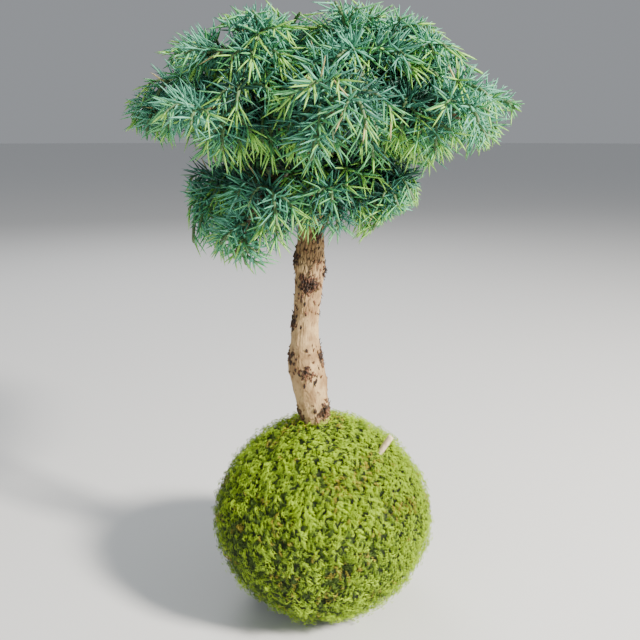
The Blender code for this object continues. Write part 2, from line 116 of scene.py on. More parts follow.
# Dark rough places as (height, azimuth in degrees, how wide, how strong).
SCARS = (
    (0.277, 188, 0.0080, 1.0),
    (0.258, 272, 0.0080, 1.0),
    (0.294, 300, 0.0045, 0.8),
    (0.203, 184, 0.0095, 0.8),
    (0.203, 356, 0.0090, 0.8),
    (0.160, 318, 0.0085, 1.0),
    (0.157, 205, 0.0070, 0.9),
    (0.192, 270, 0.0065, 0.5),
    (0.230, 192, 0.0070, 0.7),
    (0.312, 250, 0.0070, 0.7),
    (0.245, 60, 0.0080, 1.0),
    (0.210, 110, 0.0070, 0.8),
    (0.285, 90, 0.0070, 0.9),
    (0.175, 70, 0.0060, 0.8),
    (0.268, 10, 0.0060, 0.8),
)

# Peg. Azimuths and elevations in degrees.
PEG_RADIUS = 0.0023
PEG_SHOWS = 0.0125
PEG_BURIED = 0.008
PEG_PLACE = (338, 52)
PEG_LEAN = (8, 56)

# Limbs and the rule by which shoots leave their stems.
BOUGH_RADII = (0.0028, 0.0019)
BOUGH_COLLAR = 1.25
BOUGH_RINGS = 4
STEM_RADII = (0.0019, 0.0013)
SHOOT_RADII = (0.0015, 0.0010)
SHORTEST_SHOOT = 4
SHOOT_TRIES = (0, 0.7, -0.7)
FIRST_SHOOT = 0.08
LAST_SHOOT = 0.88
SHOOT_LEAN = (0.45, 0.75)
LIFT_ABOVE = 0.9
LIFT_BELOW = 0.6
RING_STEP = 0.0062
SPACE_MARGIN = 0.0009
CROWN_CENTRE = -0.002
# The crown's outline as (height, reach to the right, reach to the left).
CROWN_OUTLINE = (
    (0.2640, 0.006, 0.052),
    (0.2830, 0.022, 0.090),
    (0.3000, 0.042, 0.094),
    (0.3150, 0.070, 0.094),
    (0.3350, 0.072, 0.099),
    (0.3430, 0.098, 0.101),
    (0.3550, 0.121, 0.108),
    (0.3670, 0.131, 0.137),
    (0.3830, 0.137, 0.135),
    (0.4000, 0.119, 0.114),
    (0.4200, 0.088, 0.108),
    (0.4380, 0.068, 0.076),
    (0.4465, 0.032, 0.028),
)

Limb = namedtuple("Limb", "name azimuth root rise tip end shoots shoot_length droop")
# Azimuths in degrees from the right hand side, anticlockwise from above. A tip or an end is
# (reach from the crown's centre, height). Root heights are on the trunk.
LIMBS = (
    Limb("right", 2, 0.345, 42, (0.028, 0.370), (0.121, 0.378), 8, 0.046, 22),
    Limb("right_front", 320, 0.352, 38, (0.026, 0.370), (0.108, 0.372), 8, 0.046, 23),
    Limb("front", 274, 0.344, 46, (0.026, 0.371), (0.098, 0.374), 8, 0.046, 24),
    Limb("left_front", 226, 0.352, 38, (0.028, 0.370), (0.108, 0.372), 8, 0.046, 23),
    Limb("left", 181, 0.345, 44, (0.030, 0.370), (0.124, 0.383), 8, 0.046, 22),
    Limb("left_back", 136, 0.352, 40, (0.028, 0.371), (0.110, 0.372), 8, 0.046, 23),
    Limb("back", 92, 0.344, 44, (0.028, 0.369), (0.106, 0.372), 8, 0.046, 24),
    Limb("right_back", 47, 0.352, 40, (0.028, 0.371), (0.110, 0.374), 8, 0.046, 23),
    Limb("upper_right", 340, 0.366, 52, (0.018, 0.390), (0.082, 0.411), 8, 0.040, 16),
    Limb("upper_front", 294, 0.373, 54, (0.016, 0.394), (0.072, 0.406), 7, 0.040, 17),
    Limb("upper_left_front", 226, 0.366, 52, (0.020, 0.390), (0.086, 0.410), 8, 0.040, 16),
    Limb("upper_left", 172, 0.373, 54, (0.022, 0.394), (0.094, 0.418), 8, 0.040, 14),
    Limb("upper_back", 110, 0.366, 52, (0.019, 0.390), (0.078, 0.406), 8, 0.040, 17),
    Limb("upper_right_back", 52, 0.373, 54, (0.018, 0.394), (0.080, 0.408), 8, 0.040, 16),
    Limb("low_left", 182, 0.323, 22, (0.028, 0.331), (0.090, 0.310), 7, 0.040, 28),
    Limb("low_left_front", 222, 0.330, 16, (0.026, 0.335), (0.074, 0.287), 7, 0.038, 30),
    Limb("low_front", 276, 0.322, 24, (0.022, 0.332), (0.052, 0.326), 6, 0.032, 28),
    Limb("low_right_front", 325, 0.331, 18, (0.024, 0.338), (0.056, 0.307), 7, 0.034, 28),
    Limb("low_right_back", 20, 0.323, 18, (0.026, 0.333), (0.070, 0.321), 7, 0.036, 26),
    Limb("low_back", 82, 0.331, 16, (0.026, 0.337), (0.072, 0.312), 7, 0.038, 28),
    Limb("low_left_back", 136, 0.322, 20, (0.027, 0.331), (0.078, 0.308), 7, 0.038, 28),
)
LEADERS = (
    Limb("top_right", 14, 0.385, 66, None, (0.038, 0.429), 8, 0.036, 10),
    Limb("top_left", 204, 0.381, 52, None, (0.050, 0.424), 8, 0.038, 12),
)


# Settings


def colour(name, description, default):
    return FloatVectorProperty(
        name=name, description=description, subtype="COLOR", size=3, min=0, max=1, default=default
    )


def measure(name, description, default):
    return FloatProperty(name=name, description=description, unit="LENGTH", min=0, default=default)


class MossSettings(bpy.types.PropertyGroup):
    """The moss that covers the root ball."""

    fronds: IntProperty(name="Fronds", description="How many fronds grow", default=15000, min=0)
    length: measure("Frond length", "Length of a frond", 0.0070)
    leaf: measure("Leaf length", "Length of one leaf of a frond", 0.0024)
    # Partly painted shade: the soil is darkened to stand in for the shade in the gaps between the fronds.
    soil_and_shade: colour("Soil", "The shaded felt under the fronds", (0.014, 0.024, 0.002))
    bright: colour("Bright", "Fresh fronds", (0.430, 0.660, 0.000))
    green: colour("Green", "Common fronds", (0.250, 0.410, 0.002))
    olive: colour("Olive", "Older fronds", (0.060, 0.115, 0.002))
    straw: colour("Straw", "Dry fronds", (0.400, 0.330, 0.020))


class BarkSettings(bpy.types.PropertyGroup):
    """The bark of the trunk and the boughs."""

    ridge: measure("Ridge height", "How far the plates of the bark stand out", 0.0007)
    pale: colour("Pale", "Weathered faces of the bark", (0.560, 0.375, 0.180))
    tan: colour("Tan", "Common bark", (0.300, 0.175, 0.075))
    # Partly painted shade: the dark colour darkens the cracks and hollows of the bark, and is also the
    # dark of its scars.
    dark: colour("Dark", "Cracks and hollows", (0.026, 0.014, 0.009))
    rust: colour("Rust", "Loose flakes", (0.170, 0.070, 0.035))
    bough: colour("Bough", "Bark of the thin boughs", (0.230, 0.145, 0.085))


class NeedleSettings(bpy.types.PropertyGroup):
    """The needles and the twigs that carry them."""

    length: measure("Length", "Length of a full-grown needle", 0.0162)
    width: measure("Width", "Width of a full-grown needle", 0.00150)
    rise: measure("Rise", "Step along the shoot from one needle to the next", 0.00105)
    # Painted shade: the deep shade colour darkens the old needles inside the crown, where shade falls.
    deep_shade: colour("Deep", "Old needles inside the crown", (0.022, 0.085, 0.062))
    sea: colour("Sea green", "Old needles further out", (0.050, 0.210, 0.145))
    bloom: colour("Bloom", "Old needles with a waxy bloom", (0.120, 0.430, 0.275))
    green: colour("Green", "Needles of this year", (0.115, 0.420, 0.150))
    fresh: colour("Fresh", "Young needles at the tips", (0.290, 0.610, 0.105))
    dry: colour("Dry", "A few pale needles", (0.560, 0.480, 0.200))
    stem: colour("Stem", "Woody stems inside the masses", (0.200, 0.140, 0.075))
    twig: colour("Twig", "Green twigs", (0.120, 0.210, 0.080))


class PegSettings(bpy.types.PropertyGroup):
    """The wooden peg."""

    pale: colour("Pale", "Soft early wood", (0.880, 0.720, 0.480))
    grain: colour("Grain", "Harder lines in the wood", (0.640, 0.460, 0.280))


class StageSettings(bpy.types.PropertyGroup):
    """Floor and camera."""

    floor: colour("Floor", "Pale studio floor", (0.800, 0.800, 0.790))
    lens: FloatProperty(
        name="Lens",
        description="Focal length in millimetres",
        default=39.94,
        min=1,
        subtype="DISTANCE_CAMERA",
    )


SETTINGS = (
    ("kokedama_moss", MossSettings),
    ("kokedama_bark", BarkSettings),
    ("kokedama_needles", NeedleSettings),
    ("kokedama_peg", PegSettings),
    ("kokedama_stage", StageSettings),
)


# Meshes


def mesh_piece(name, points, quads=(), triangles=()):
    """An object from arrays of points and of corner numbers, joined to the plant."""
    points = np.asarray(points, np.float32).reshape(-1, 3)
    quads = np.asarray(quads, np.int32).reshape(-1, 4)
    triangles = np.asarray(triangles, np.int32).reshape(-1, 3)
    mesh = bpy.data.meshes.new(name)
    mesh.vertices.add(len(points))
    mesh.vertices.foreach_set("co", points.ravel())
    mesh.loops.add(quads.size + triangles.size)
    mesh.loops.foreach_set("vertex_index", np.concatenate([quads.ravel(), triangles.ravel()]))
    starts = [np.arange(len(quads)) * 4, quads.size + np.arange(len(triangles)) * 3]
    mesh.polygons.add(len(quads) + len(triangles))
    mesh.polygons.foreach_set("loop_start", np.concatenate(starts).astype(np.int32))
    mesh.update(calc_edges=True)
    mesh.validate()
    mesh.shade_smooth()
    piece = bpy.data.objects.new(name, mesh)
    bpy.context.scene.collection.objects.link(piece)
    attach(piece, "root")
    return piece


def closed_skin(rings, sides, base=0):
    """Quads and triangles of a tube of rings. Its two end points follow the rings."""
    k = np.arange(sides)
    j = (k + 1) % sides
    low = base + (np.arange(rings - 1) * sides)[:, None]
    quads = np.stack([low + k, low + j, low + sides + j, low + sides + k], axis=2).reshape(-1, 4)
    last = base + (rings - 1) * sides
    first_end = np.full(sides, base + rings * sides)
    caps = [np.stack([base + j, base + k, first_end], axis=1)]
    caps.append(np.stack([last + k, last + j, first_end + 1], axis=1))
    return quads, np.concatenate(caps)


def spokes(side, other, sides):
    """The directions of a ring's corners, from two directions square to each other."""
    for k in range(sides):
        turn = math.tau * k / sides
        yield side * math.cos(turn) + other * math.sin(turn)


def rings_round(path, headings, sides):
    """The share of the way, the centre and the spokes of each ring along a path."""
    for i, (centre, heading, side) in enumerate(zip(path, headings, sides_of(headings))):
        yield i / (len(path) - 1), centre, list(spokes(side, heading.cross(side), sides))


def store(piece, name, values):
    """Keeps one value for each point, which the finish reads by its name."""
    layer = piece.data.attributes.new(name, "FLOAT", "POINT")
    layer.data.foreach_set("value", np.asarray(values, np.float32))


# Finishes


def surface(name, base, roughness):
    material = bpy.data.materials.new(name)
    material.use_nodes = True
    shader = material.node_tree.nodes["Principled BSDF"]
    shader.inputs["Base Color"].default_value = (*base, 1)
    shader.inputs["Roughness"].default_value = roughness
    return material


def paint(piece, name, base, roughness):
    """Gives a piece its own finish and returns its node tree."""
    material = surface(name, base, roughness)
    piece.data.materials.clear()
    piece.data.materials.append(material)
    return material.node_tree


def add(tree, kind, **values):
    """A node with its settings and the values of its sockets."""
    node = tree.nodes.new(kind)
    for key, value in values.items():
        if key in node.inputs:
            node.inputs[key].default_value = value
        else:
            setattr(node, key, value)
    return node


def noise_map(tree, scale, detail, tall=1):
    """Noise in the plant's own coordinates. Its cells stretch upwards where tall is under 1."""
    place = add(tree, "ShaderNodeTexCoord")
    mapping = add(tree, "ShaderNodeMapping", Scale=(1, 1, tall))
    pattern = add(tree, "ShaderNodeTexNoise", Scale=scale, Detail=detail)
    tree.links.new(place.outputs["Object"], mapping.inputs["Vector"])
    tree.links.new(mapping.outputs["Vector"], pattern.inputs["Vector"])
    return pattern.outputs["Fac"]


def stored(tree, name):
    """The values that were stored with the mesh under a name."""
    return add(tree, "ShaderNodeAttribute", attribute_name=name).outputs["Fac"]


def ramp(tree, value, stops):
    """Colours by value, from (place, colour) stops."""
    node = add(tree, "ShaderNodeValToRGB")
    while len(node.color_ramp.elements) < len(stops):
        node.color_ramp.elements.new(0.5)
    for element, (place, tint) in zip(node.color_ramp.elements, stops):
        element.position = place
        element.color = (*tint, 1)
    tree.links.new(value, node.inputs["Fac"])
    return node.outputs["Color"]


def mask(tree, value, none, full, most):
    """A share that is nothing at one value and at its most at another."""
    return ramp(tree, value, sorted([(none, (0, 0, 0)), (full, (most, most, most))]))


def mixed(tree, share, first, second):
    """Two colours mixed by a share. Each of the three is a socket, or a colour."""
    node = add(tree, "ShaderNodeMix", data_type="RGBA")
    for socket, value in zip((0, 6, 7), (share, first, second)):
        socket = node.inputs[socket]
        if isinstance(value, bpy.types.NodeSocket):
            tree.links.new(value, socket)
        else:
            socket.default_value = (*value, 1)
    return node.outputs[2]


def dye(tree, tint):
    tree.links.new(tint, tree.nodes["Principled BSDF"].inputs["Base Color"])


def bump(tree, value, strength, distance):
    node = add(tree, "ShaderNodeBump", Strength=strength, Distance=distance)
    tree.links.new(value, node.inputs["Height"])
    tree.links.new(node.outputs["Normal"], tree.nodes["Principled BSDF"].inputs["Normal"])


# The plant's own shapes


def compass(azimuth, elevation=0.0):
    """The direction at an azimuth and an elevation in degrees."""
    a, e = math.radians(azimuth), math.radians(elevation)
    return Vector((math.cos(a) * math.cos(e), math.sin(a) * math.cos(e), math.sin(e)))


def ball_surface(direction):
    """The point of the root ball's lumpy skin in a direction from its waist."""
    across = math.hypot(direction.x, direction.y)
    above = direction.z > 0
    power = SHOULDER_ROUNDNESS if above else BELLY_ROUNDNESS
    half = BALL_TOP - BALL_WAIST if above else BALL_DEPTH
    size = (across**power + abs(direction.z) ** power) ** (-1 / power)
    point = Vector((direction.x * BALL_RADIUS, direction.y * BALL_RADIUS, direction.z * half))
    point *= size
    point.z += BALL_WAIST
    finer, share = FINER_LUMPS
    lump = noise.noise(point / LUMP_WIDTH) + share * noise.noise(point * finer / LUMP_WIDTH)
    level = min(across / LEVEL_TOP, 1) if above else 1
    return point + direction * lump * LUMP_HEIGHT * level


def smooth_course(stations, height):
    """The values at a height, on a smooth curve through the stations."""
    last = len(stations) - 2
    at = next((i for i in range(last + 1) if height <= stations[i + 1][0]), last)
    here, there = np.array(stations[at]), np.array(stations[at + 1])
    before = np.array(stations[max(at - 1, 0)])
    after = np.array(stations[min(at + 2, last + 1)])
    span = there[0] - here[0]
    t = min(max((height - here[0]) / span, 0), 1)
    leave = (there - before) / (there[0] - before[0]) * span
    arrive = (after - here) / (after[0] - here[0]) * span
    return (
        (2 * t**3 - 3 * t**2 + 1) * here
        + (t**3 - 2 * t**2 + t) * leave
        + (3 * t**2 - 2 * t**3) * there
        + (t**3 - t**2) * arrive
    )


def trunk_at(height):
    """Centre and radius of the trunk. Its foot stands straight below the moss."""
    _, x, y, radius = smooth_course(TRUNK_COURSE, height)
    if height < GROUND_LINE:
        _, x, y, radius = TRUNK_COURSE[0]
    return Vector((x, y, height)), float(radius)


def arch(start, heading, end, count):
    """Points along an arch that leaves its start in a heading and comes to its end."""
    bend = start + heading * ((end - start).length * 0.5)
    steps = [i / (count - 1) for i in range(count)]
    return [start * (1 - t) ** 2 + bend * (2 * t * (1 - t)) + end * t * t for t in steps]


def crown_point(azimuth, reach_and_height):
    reach, height = reach_and_height
    return Vector((CROWN_CENTRE, 0, height)) + compass(azimuth) * reach


def beside_trunk(limb, below, away):
    """A point on the limb's side of the trunk, clear of the skin there and a little below."""
    centre, _ = trunk_at(limb.root)
    _, widest = trunk_at(limb.root - below)
    return centre + compass(limb.azimuth) * (widest + CLEARANCE + away)


def bough_path(limb, count=BOUGH_RINGS):
    start = beside_trunk(limb, BOUGH_RADII[0] * BOUGH_COLLAR, 0)
    tip = crown_point(limb.azimuth, limb.tip)
    return arch(start, compass(limb.azimuth, limb.rise), tip, count)


def stem_path(limb):
    """The middle line of a mass's stem, which goes on from its bough or leaves the trunk."""
    if limb.tip is None:
        start = beside_trunk(limb, STEM_RADII[0], STEM_RADII[0])
        heading = compass(limb.azimuth, limb.rise)
    else:
        path = bough_path(limb)
        heading = (path[-1] - path[-2]).normalized()
        start = path[-1] + heading * CLEARANCE
    end = crown_point(limb.azimuth, limb.end)
    count = max(4, round((end - start).length / RING_STEP))
    return arch(start, heading, end, count)


def unit(rows):
    return rows / np.linalg.norm(rows, axis=1, keepdims=True)


def square_to(ways, rows):
    """The rows as directions square to the ways."""
    return unit(rows - ways * (rows * ways).sum(axis=1, keepdims=True))


def headings_of(path):
    """The direction at each point of a path."""
    steps = [(b - a).normalized() for a, b in zip(path, path[1:])]
    inner = [(a + b).normalized() for a, b in zip(steps, steps[1:])]
    return [steps[0], *inner, steps[-1]]


def waning(shares, t):
    """A value that starts at the first share and has lost the second by the end."""
    return shares[0] - shares[1] * t


def sides_of(headings):
    """A direction square to each heading, carried along the path without turning round it."""
    side = UP.cross(headings[0])
    side = side.normalized() if side.length > NEARLY_UPRIGHT else Vector((1, 0, 0))
    found = []
    for heading in headings:
        side = (side - heading * side.dot(heading)).normalized()
        found.append(side)
    return found


# The room of each mass

# Openings that run through the crown from front to back as (to the right, height, radius).
SKY_GAPS = ((-0.063, 0.422, 0.007), (-0.019, 0.446, 0.014))
SPHERE_STEP = 0.002
SPHERES_A_RING = 6
# A stem's first heart lies this share of the way to its second point.
FIRST_HEART = 0.3


def in_crown(points):
    """Which of the points lie inside the crown's outline."""
    heights, right, left = (np.array(column) for column in zip(*CROWN_OUTLINE))
    across = points[:, :2] - (CROWN_CENTRE, 0)
    reach = np.linalg.norm(across, axis=1)
    share = (1 + across[:, 0] / np.maximum(reach, 1e-9)) / 2
    level = points[:, 2]
    limit = share * np.interp(level, heights, right) + (1 - share) * np.interp(level, heights, left)
    inside = (level > heights[0]) & (level < heights[-1]) & (reach < limit)
    for x, z, radius in SKY_GAPS:
        inside &= np.hypot(points[:, 0] - x, level - z) > radius
    return inside


class Space:
    """The room that one mass keeps to: nearer its own stem than to any other, and off the limbs."""

    def __init__(self, own, others, limbs):
        self.own = np.array(own)
        self.others = np.array(others)
        self.limb_centres, self.limb_radii = limbs

    def holds(self, points, room, margin):
        """Which points keep this margin from other masses and have this room to the limbs."""
        points = np.asarray(points)
        own = np.linalg.norm(points[:, None] - self.own[None], axis=2)
        near = self.own[own.argmin(axis=1)]
        gaps = np.linalg.norm(self.others[None] - near[:, None], axis=2)
        far = np.linalg.norm(self.others[None] - points[:, None], axis=2)
        past = ((far**2 - own.min(axis=1)[:, None] ** 2) / (2 * gaps)).min(axis=1)
        limbs = np.linalg.norm(self.limb_centres[None] - points[:, None], axis=2) - self.limb_radii
        return in_crown(points) & (past >= margin) & (limbs.min(axis=1) >= room)


def limb_spheres():
    """Centres and radii of close-set spheres that fill the trunk and every bough."""
    top = TRUNK_COURSE[-1][0]
    steps = round((top - GROUND_LINE) / SPHERE_STEP)
    balls = [trunk_at(top - i * SPHERE_STEP) for i in range(steps + 1)]
    shares = [k / SPHERES_A_RING for k in range(SPHERES_A_RING + 1)]
    for limb in LIMBS:
        path = bough_path(limb)
        balls += [(a.lerp(b, t), BOUGH_RADII[0]) for a, b in zip(path, path[1:]) for t in shares]
    return np.array([c for c, _ in balls]), np.array([r for _, r in balls])


def crown_spaces():
    """The limb, its number and its space, for each mass of the crown."""
    everyone = LIMBS + LEADERS
    hearts = {}
    for limb in everyone:
        stem = stem_path(limb)
        hearts[limb.name] = [stem[0].lerp(stem[1], FIRST_HEART), stem[len(stem) // 2], stem[-1]]
    limbs = limb_spheres()
    for order, limb in enumerate(everyone):
        others = [h for name, points in hearts.items() if name != limb.name for h in points]
        yield limb, order, Space(hearts[limb.name], others, limbs)


# Growth of the twigs

# Droop of the main shoots. Finer twigs hang more, and may reach this far over into a
# neighbour's space.
MAIN_DROOP = 1.15
HANG = 1.9
LOOSE = -0.016
# A shoot's droop at its start, and how much is added to it by the tip.
DROOP_GROWS = (0.35, 1.5)
# Nothing leaves the stem past this share of it.
LAST_PLACE = 0.97
SHOOT_VARIES = (0.9, 1.1)
# The shoots along a stem, as (share of their length at its start, how much is lost by its end).
SHOOT_WANES = (1.08, 0.35)
# Twigs that leave a shoot to either side of it.
TWIGLET_PLACES = (0.22, 0.48)
TWIGLET_RADII = (0.0010, 0.0007)
TWIGLET_AHEAD = 0.8
TWIGLET_ASIDE = (0.6, 1.0)
TWIGLET_RISE = (-0.1, 0.35)
TWIGLET_REACH = (0.7, 0.95)
SHORTEST_TWIGLET = 0.012
# The bare share of a stem and of a twig, and how fully their tips are young.
STEM_BARE = 0.28
TWIG_BARE = 0.10
STEM_YOUTH = 0.5
TWIG_YOUTH = (0.2, 1)

Twig = namedtuple("Twig", "path radii bare youth")


def grow_shoot(start, heading, length, droop, space, step=RING_STEP, margin=SPACE_MARGIN):
    """A path that arches out and hangs, cut short where it would leave its space."""
    path = [start]
    heading = heading.normalized()
    room = SHOOT_RADII[0] + SPACE_MARGIN
    while (len(path) - 1) * step < length:
        point = path[-1] + heading * step
        if len(path) > 1 and not space.holds([point, point.lerp(path[-1], 0.5)], room, margin).all():
            break
        path.append(point)
        share = len(path) * step / length
        sag = DROOP_GROWS[0] + DROOP_GROWS[1] * share
        heading = (heading - UP * droop * step * sag).normalized()
    return path


def shoot_plan(limb, stem, rng, shift):
    """(start, possible headings, length) of each side shoot, in a spiral round the stem."""
    headings = headings_of(stem)
    last = len(stem) - 1
    roll = rng.uniform(0, math.tau)
    for i in range(limb.shoots):
        t = FIRST_SHOOT + (LAST_SHOOT - FIRST_SHOOT) * (i + shift) / (limb.shoots - 1)
        at = min(t, LAST_PLACE) * last
        low = min(int(at), last - 1)
        start = stem[low].lerp(stem[low + 1], at - low)
        along = headings[low]
        across = along.cross(UP).normalized()
        above = across.cross(along)
        roll += GOLDEN_TURN
        choices = []
        for turn in SHOOT_TRIES:
            rise = math.sin(roll + turn)
            lift = above * rise * (LIFT_ABOVE if rise > 0 else LIFT_BELOW)
            choices.append(along * rng.uniform(*SHOOT_LEAN) + across * math.cos(roll + turn) + lift)
        yield start, choices, limb.shoot_length * rng.uniform(*SHOOT_VARIES) * waning(SHOOT_WANES, t)


def twiglets(path, droop, space, rng):
    """Short side twigs on either side of a shoot."""
    headings = headings_of(path)
    length = (len(path) - 1) * RING_STEP
    hand = rng.choice((-1, 1))
    for share in TWIGLET_PLACES:
        at = share * (len(path) - 1)
        low = int(at)
        start = path[low].lerp(path[low + 1], at - low)
        across = headings[low].cross(UP).normalized()
        hand = -hand
        heading = headings[low] * TWIGLET_AHEAD + across * hand * rng.uniform(*TWIGLET_ASIDE)
        heading += UP * rng.uniform(*TWIGLET_RISE)
        reach = max(length * (1 - share) * rng.uniform(*TWIGLET_REACH), SHORTEST_TWIGLET)
        twiglet = grow_shoot(start, heading, reach, droop * HANG, space, RING_STEP / 2, LOOSE)
        if len(twiglet) >= SHORTEST_SHOOT:
            yield twiglet


def grow_mass(limb, order, space):
    """Every twig of one mass: its stem, the solid's shoots, as many between them, and twiglets."""
    main = random.Random(FIRST_SEED + order)
    finer = random.Random(FINER_SEED + order)
    stem = stem_path(limb)
    twigs = [Twig(stem, STEM_RADII, STEM_BARE, STEM_YOUTH)]
    for rng, shift, hang, margin in ((main, 0, MAIN_DROOP, SPACE_MARGIN), (finer, 0.5, HANG, LOOSE)):
        droop = limb.droop * hang
        for start, choices, length in shoot_plan(limb, stem, rng, shift):
            tries = [grow_shoot(start, way, length, droop, space, margin=margin) for way in choices]
            longest = max(tries, key=len)
            if len(longest) < SHORTEST_SHOOT:
                continue
            twigs.append(Twig(longest, SHOOT_RADII, TWIG_BARE, finer.uniform(*TWIG_YOUTH)))
            for path in twiglets(longest, limb.droop, space, finer):
                twigs.append(Twig(path, TWIGLET_RADII, TWIG_BARE, finer.uniform(*TWIG_YOUTH)))
    return twigs


# Needles

# A needle's cross sections as (place along it, share of its width).
NEEDLE_SECTIONS = ((0.0, 0.62), (0.33, 1.0), (0.76, 0.62))
NEEDLE_THICKNESS = 0.8
NEEDLE_CORNERS = ((1, 0), (0, 1), (-1, 0), (0, -1))
# The stretch before a twig's tip where needles are young: they close up, hang and are shorter.
YOUNG_ZONE = 0.013
OLD_SPREAD = 62
YOUNG_SPREAD = 24
SPREAD_VARIES = (0.90, 1.10)
OLD_RISE = 0.14
YOUNG_SAG = 0.45
AIM_VARIES = 0.035
LENGTH_VARIES = (0.82, 1.06)
WIDTH_VARIES = (0.85, 1.1)
YOUNG_SHORTER = 0.16
FIRST_SHORTER = 0.28
FIRST_ZONE = 0.010
BEND = (0.04, 0.20)
SUNK_ROOT = 0.5
# A needle that doesn't fit is shortened before it is left out.
NEEDLE_TRIES = (1, 0.8, 0.6)
TIP_ROOM = 0.0006
MIDDLE_ROOM = 0.0004
# A twig with a smaller share of its needles in the crown is left out.
BARE_SHARE = 0.35
# Old needles are darker towards the crown's middle as painted shade: they turn from deep shade to sea
# green to bloom by their depth in the crown, which is 0 at its middle and 1 at its skin. Then come the
# young ones by their age.
KINDS = ("deep_shade", "sea", "bloom", "green", "fresh", "dry")
CROWN_MIDDLE = (CROWN_CENTRE, 0, 0.365)
CROWN_HALVES = (0.135, 0.125, 0.080)
DEPTH_STEPS = (0.58, 0.84)
DEPTH_VARIES = (0.12, 0.05)
AGE_STEPS = (0.22, 0.46)
AGE_VARIES = 0.06
DRY_SHARE = 0.006
TWIG_SIDES = 6
# How far the end points of a twig stand out, in its radii there.
TWIG_ENDS = (0.5, 1.5)
TWIG_SHADE = 0.55

Needles = namedtuple("Needles", "roots ways bends lengths widths kinds")


def stations(path, first, step):
    """Places, headings and sides at even steps along a path."""
    points = np.array(path)
    headings = headings_of(path)
    sides = np.array(sides_of(headings))
    headings = np.array(headings)
    lengths = np.concatenate([[0], np.cumsum(np.linalg.norm(np.diff(points, axis=0), axis=1))])
    s = np.arange(first * lengths[-1], lengths[-1], step)
    places, ways, across = (
        np.stack([np.interp(s, lengths, column) for column in rows.T], axis=1)
        for rows in (points, headings, sides)
    )
    ways = unit(ways)
    return s, lengths[-1], places, ways, square_to(ways, across)


def needles_on(twig, look, rng, space):
    """The needles of one twig in a spiral, and the twig cut back to the last of them."""
    s, total, places, ways, across = stations(twig.path, twig.bare, look.rise)
    count = len(s)
    other = np.cross(ways, across)
    turn = rng.uniform(0, math.tau) + GOLDEN_TURN * np.arange(count)
    outward = across * np.cos(turn)[:, None] + other * np.sin(turn)[:, None]
    young = np.clip((s - total + YOUNG_ZONE) / YOUNG_ZONE, 0, 1) * twig.youth
    spread = OLD_SPREAD - (OLD_SPREAD - YOUNG_SPREAD) * young
    spread = np.radians(spread) * rng.uniform(*SPREAD_VARIES, count)
    aim = outward * np.sin(spread)[:, None] + ways * np.cos(spread)[:, None]
    aim[:, 2] += OLD_RISE - YOUNG_SAG * young
    aim = unit(aim + rng.normal(0, AIM_VARIES, (count, 3)))
    lengths = look.length * rng.uniform(*LENGTH_VARIES, count) * (1 - YOUNG_SHORTER * young)
    lengths *= 1 - FIRST_SHORTER + FIRST_SHORTER * np.clip(s / FIRST_ZONE, 0, 1)
    bends = ways * rng.uniform(*BEND, count)[:, None]
    radius = twig.radii[0] + (twig.radii[1] - twig.radii[0]) * s / total
    roots = places + outward * (radius * SUNK_ROOT)[:, None]
    keep, shares = fitting(roots, aim, lengths, space)
    lengths *= shares
    widths = look.width * rng.uniform(*WIDTH_VARIES, count)
    kinds = needle_kinds(places, young, rng)
    if keep.mean() < BARE_SHARE:
        keep[:] = False
    last = s[keep].max() if keep.any() else 0
    row = [column[keep] for column in (roots, aim, bends, lengths, widths, kinds)]
    return row, cut_back(twig, last)


def fitting(roots, aim, lengths, space):
    """Which needles fit into the space, and the share of its length that each keeps."""
    keep = np.zeros(len(roots), bool)
    shares = np.ones(len(roots))
    for share in NEEDLE_TRIES:
        tips = roots + aim * (lengths * share)[:, None]
        middles = (roots + tips) / 2
        fits = space.holds(tips, TIP_ROOM, LOOSE) & space.holds(middles, MIDDLE_ROOM, LOOSE) & ~keep
        shares[fits] = share
        keep |= fits
    return keep, shares


def needle_kinds(places, young, rng):
    """The kind of each needle: by its age, and darker by its depth in the crown as painted shade."""
    depth = np.linalg.norm((places - CROWN_MIDDLE) / np.array(CROWN_HALVES), axis=1)
    by_spray, by_needle = DEPTH_VARIES
    depth = depth + rng.normal(0, by_spray) + rng.normal(0, by_needle, len(places))
    kinds = np.digitize(depth, DEPTH_STEPS)
    age = young + rng.normal(0, AGE_VARIES, len(places))
    for kind, step in zip((KINDS.index("green"), KINDS.index("fresh")), AGE_STEPS):
        kinds = np.where(age > step, kind, kinds)
    return np.where(rng.uniform(0, 1, len(places)) < DRY_SHARE, KINDS.index("dry"), kinds)


def cut_back(twig, length):
    """The twig up to a length, or nothing where too little of it is left."""
    path, left = [twig.path[0]], length
    for a, b in zip(twig.path, twig.path[1:]):
        step = (b - a).length
        if left < step:
            path.append(a.lerp(b, max(left, 0) / step))
            break
        path.append(b)
        left -= step
    return twig._replace(path=path) if length > RING_STEP else None


def needle_shapes(needles, chosen):
    """Points and faces of slim curved needles with four sides and a point."""
    roots, ways, bends = needles.roots[chosen], needles.ways[chosen], needles.bends[chosen]
    lengths, widths = needles.lengths[chosen, None], needles.widths[chosen, None]
    side = np.cross(ways, bends)
    side /= np.linalg.norm(side, axis=1, keepdims=True) + 1e-12
    other = np.cross(side, ways)
    corners = []
    for t, share in NEEDLE_SECTIONS:
        centre = roots + ways * lengths * t + bends * lengths * t * t
        half = widths * share / 2
        for a, b in NEEDLE_CORNERS:
            corners.append(centre + side * half * a + other * half * b * NEEDLE_THICKNESS)
    corners.append(roots + ways * lengths + bends * lengths)
    points = np.stack(corners, axis=1)
    base = (np.arange(len(roots)) * len(corners))[:, None]
    quads = [(3, 2, 1, 0)]
    for ring in (0, 4):
        quads += [(ring + k, ring + (k + 1) % 4, ring + 4 + (k + 1) % 4, ring + 4 + k) for k in range(4)]
    triangles = [(8 + k, 8 + (k + 1) % 4, 12) for k in range(4)]
    return (
        points.reshape(-1, 3),
        (base + np.array(quads).reshape(1, -1)).reshape(-1, 4),
        (base + np.array(triangles).reshape(1, -1)).reshape(-1, 3),
    )


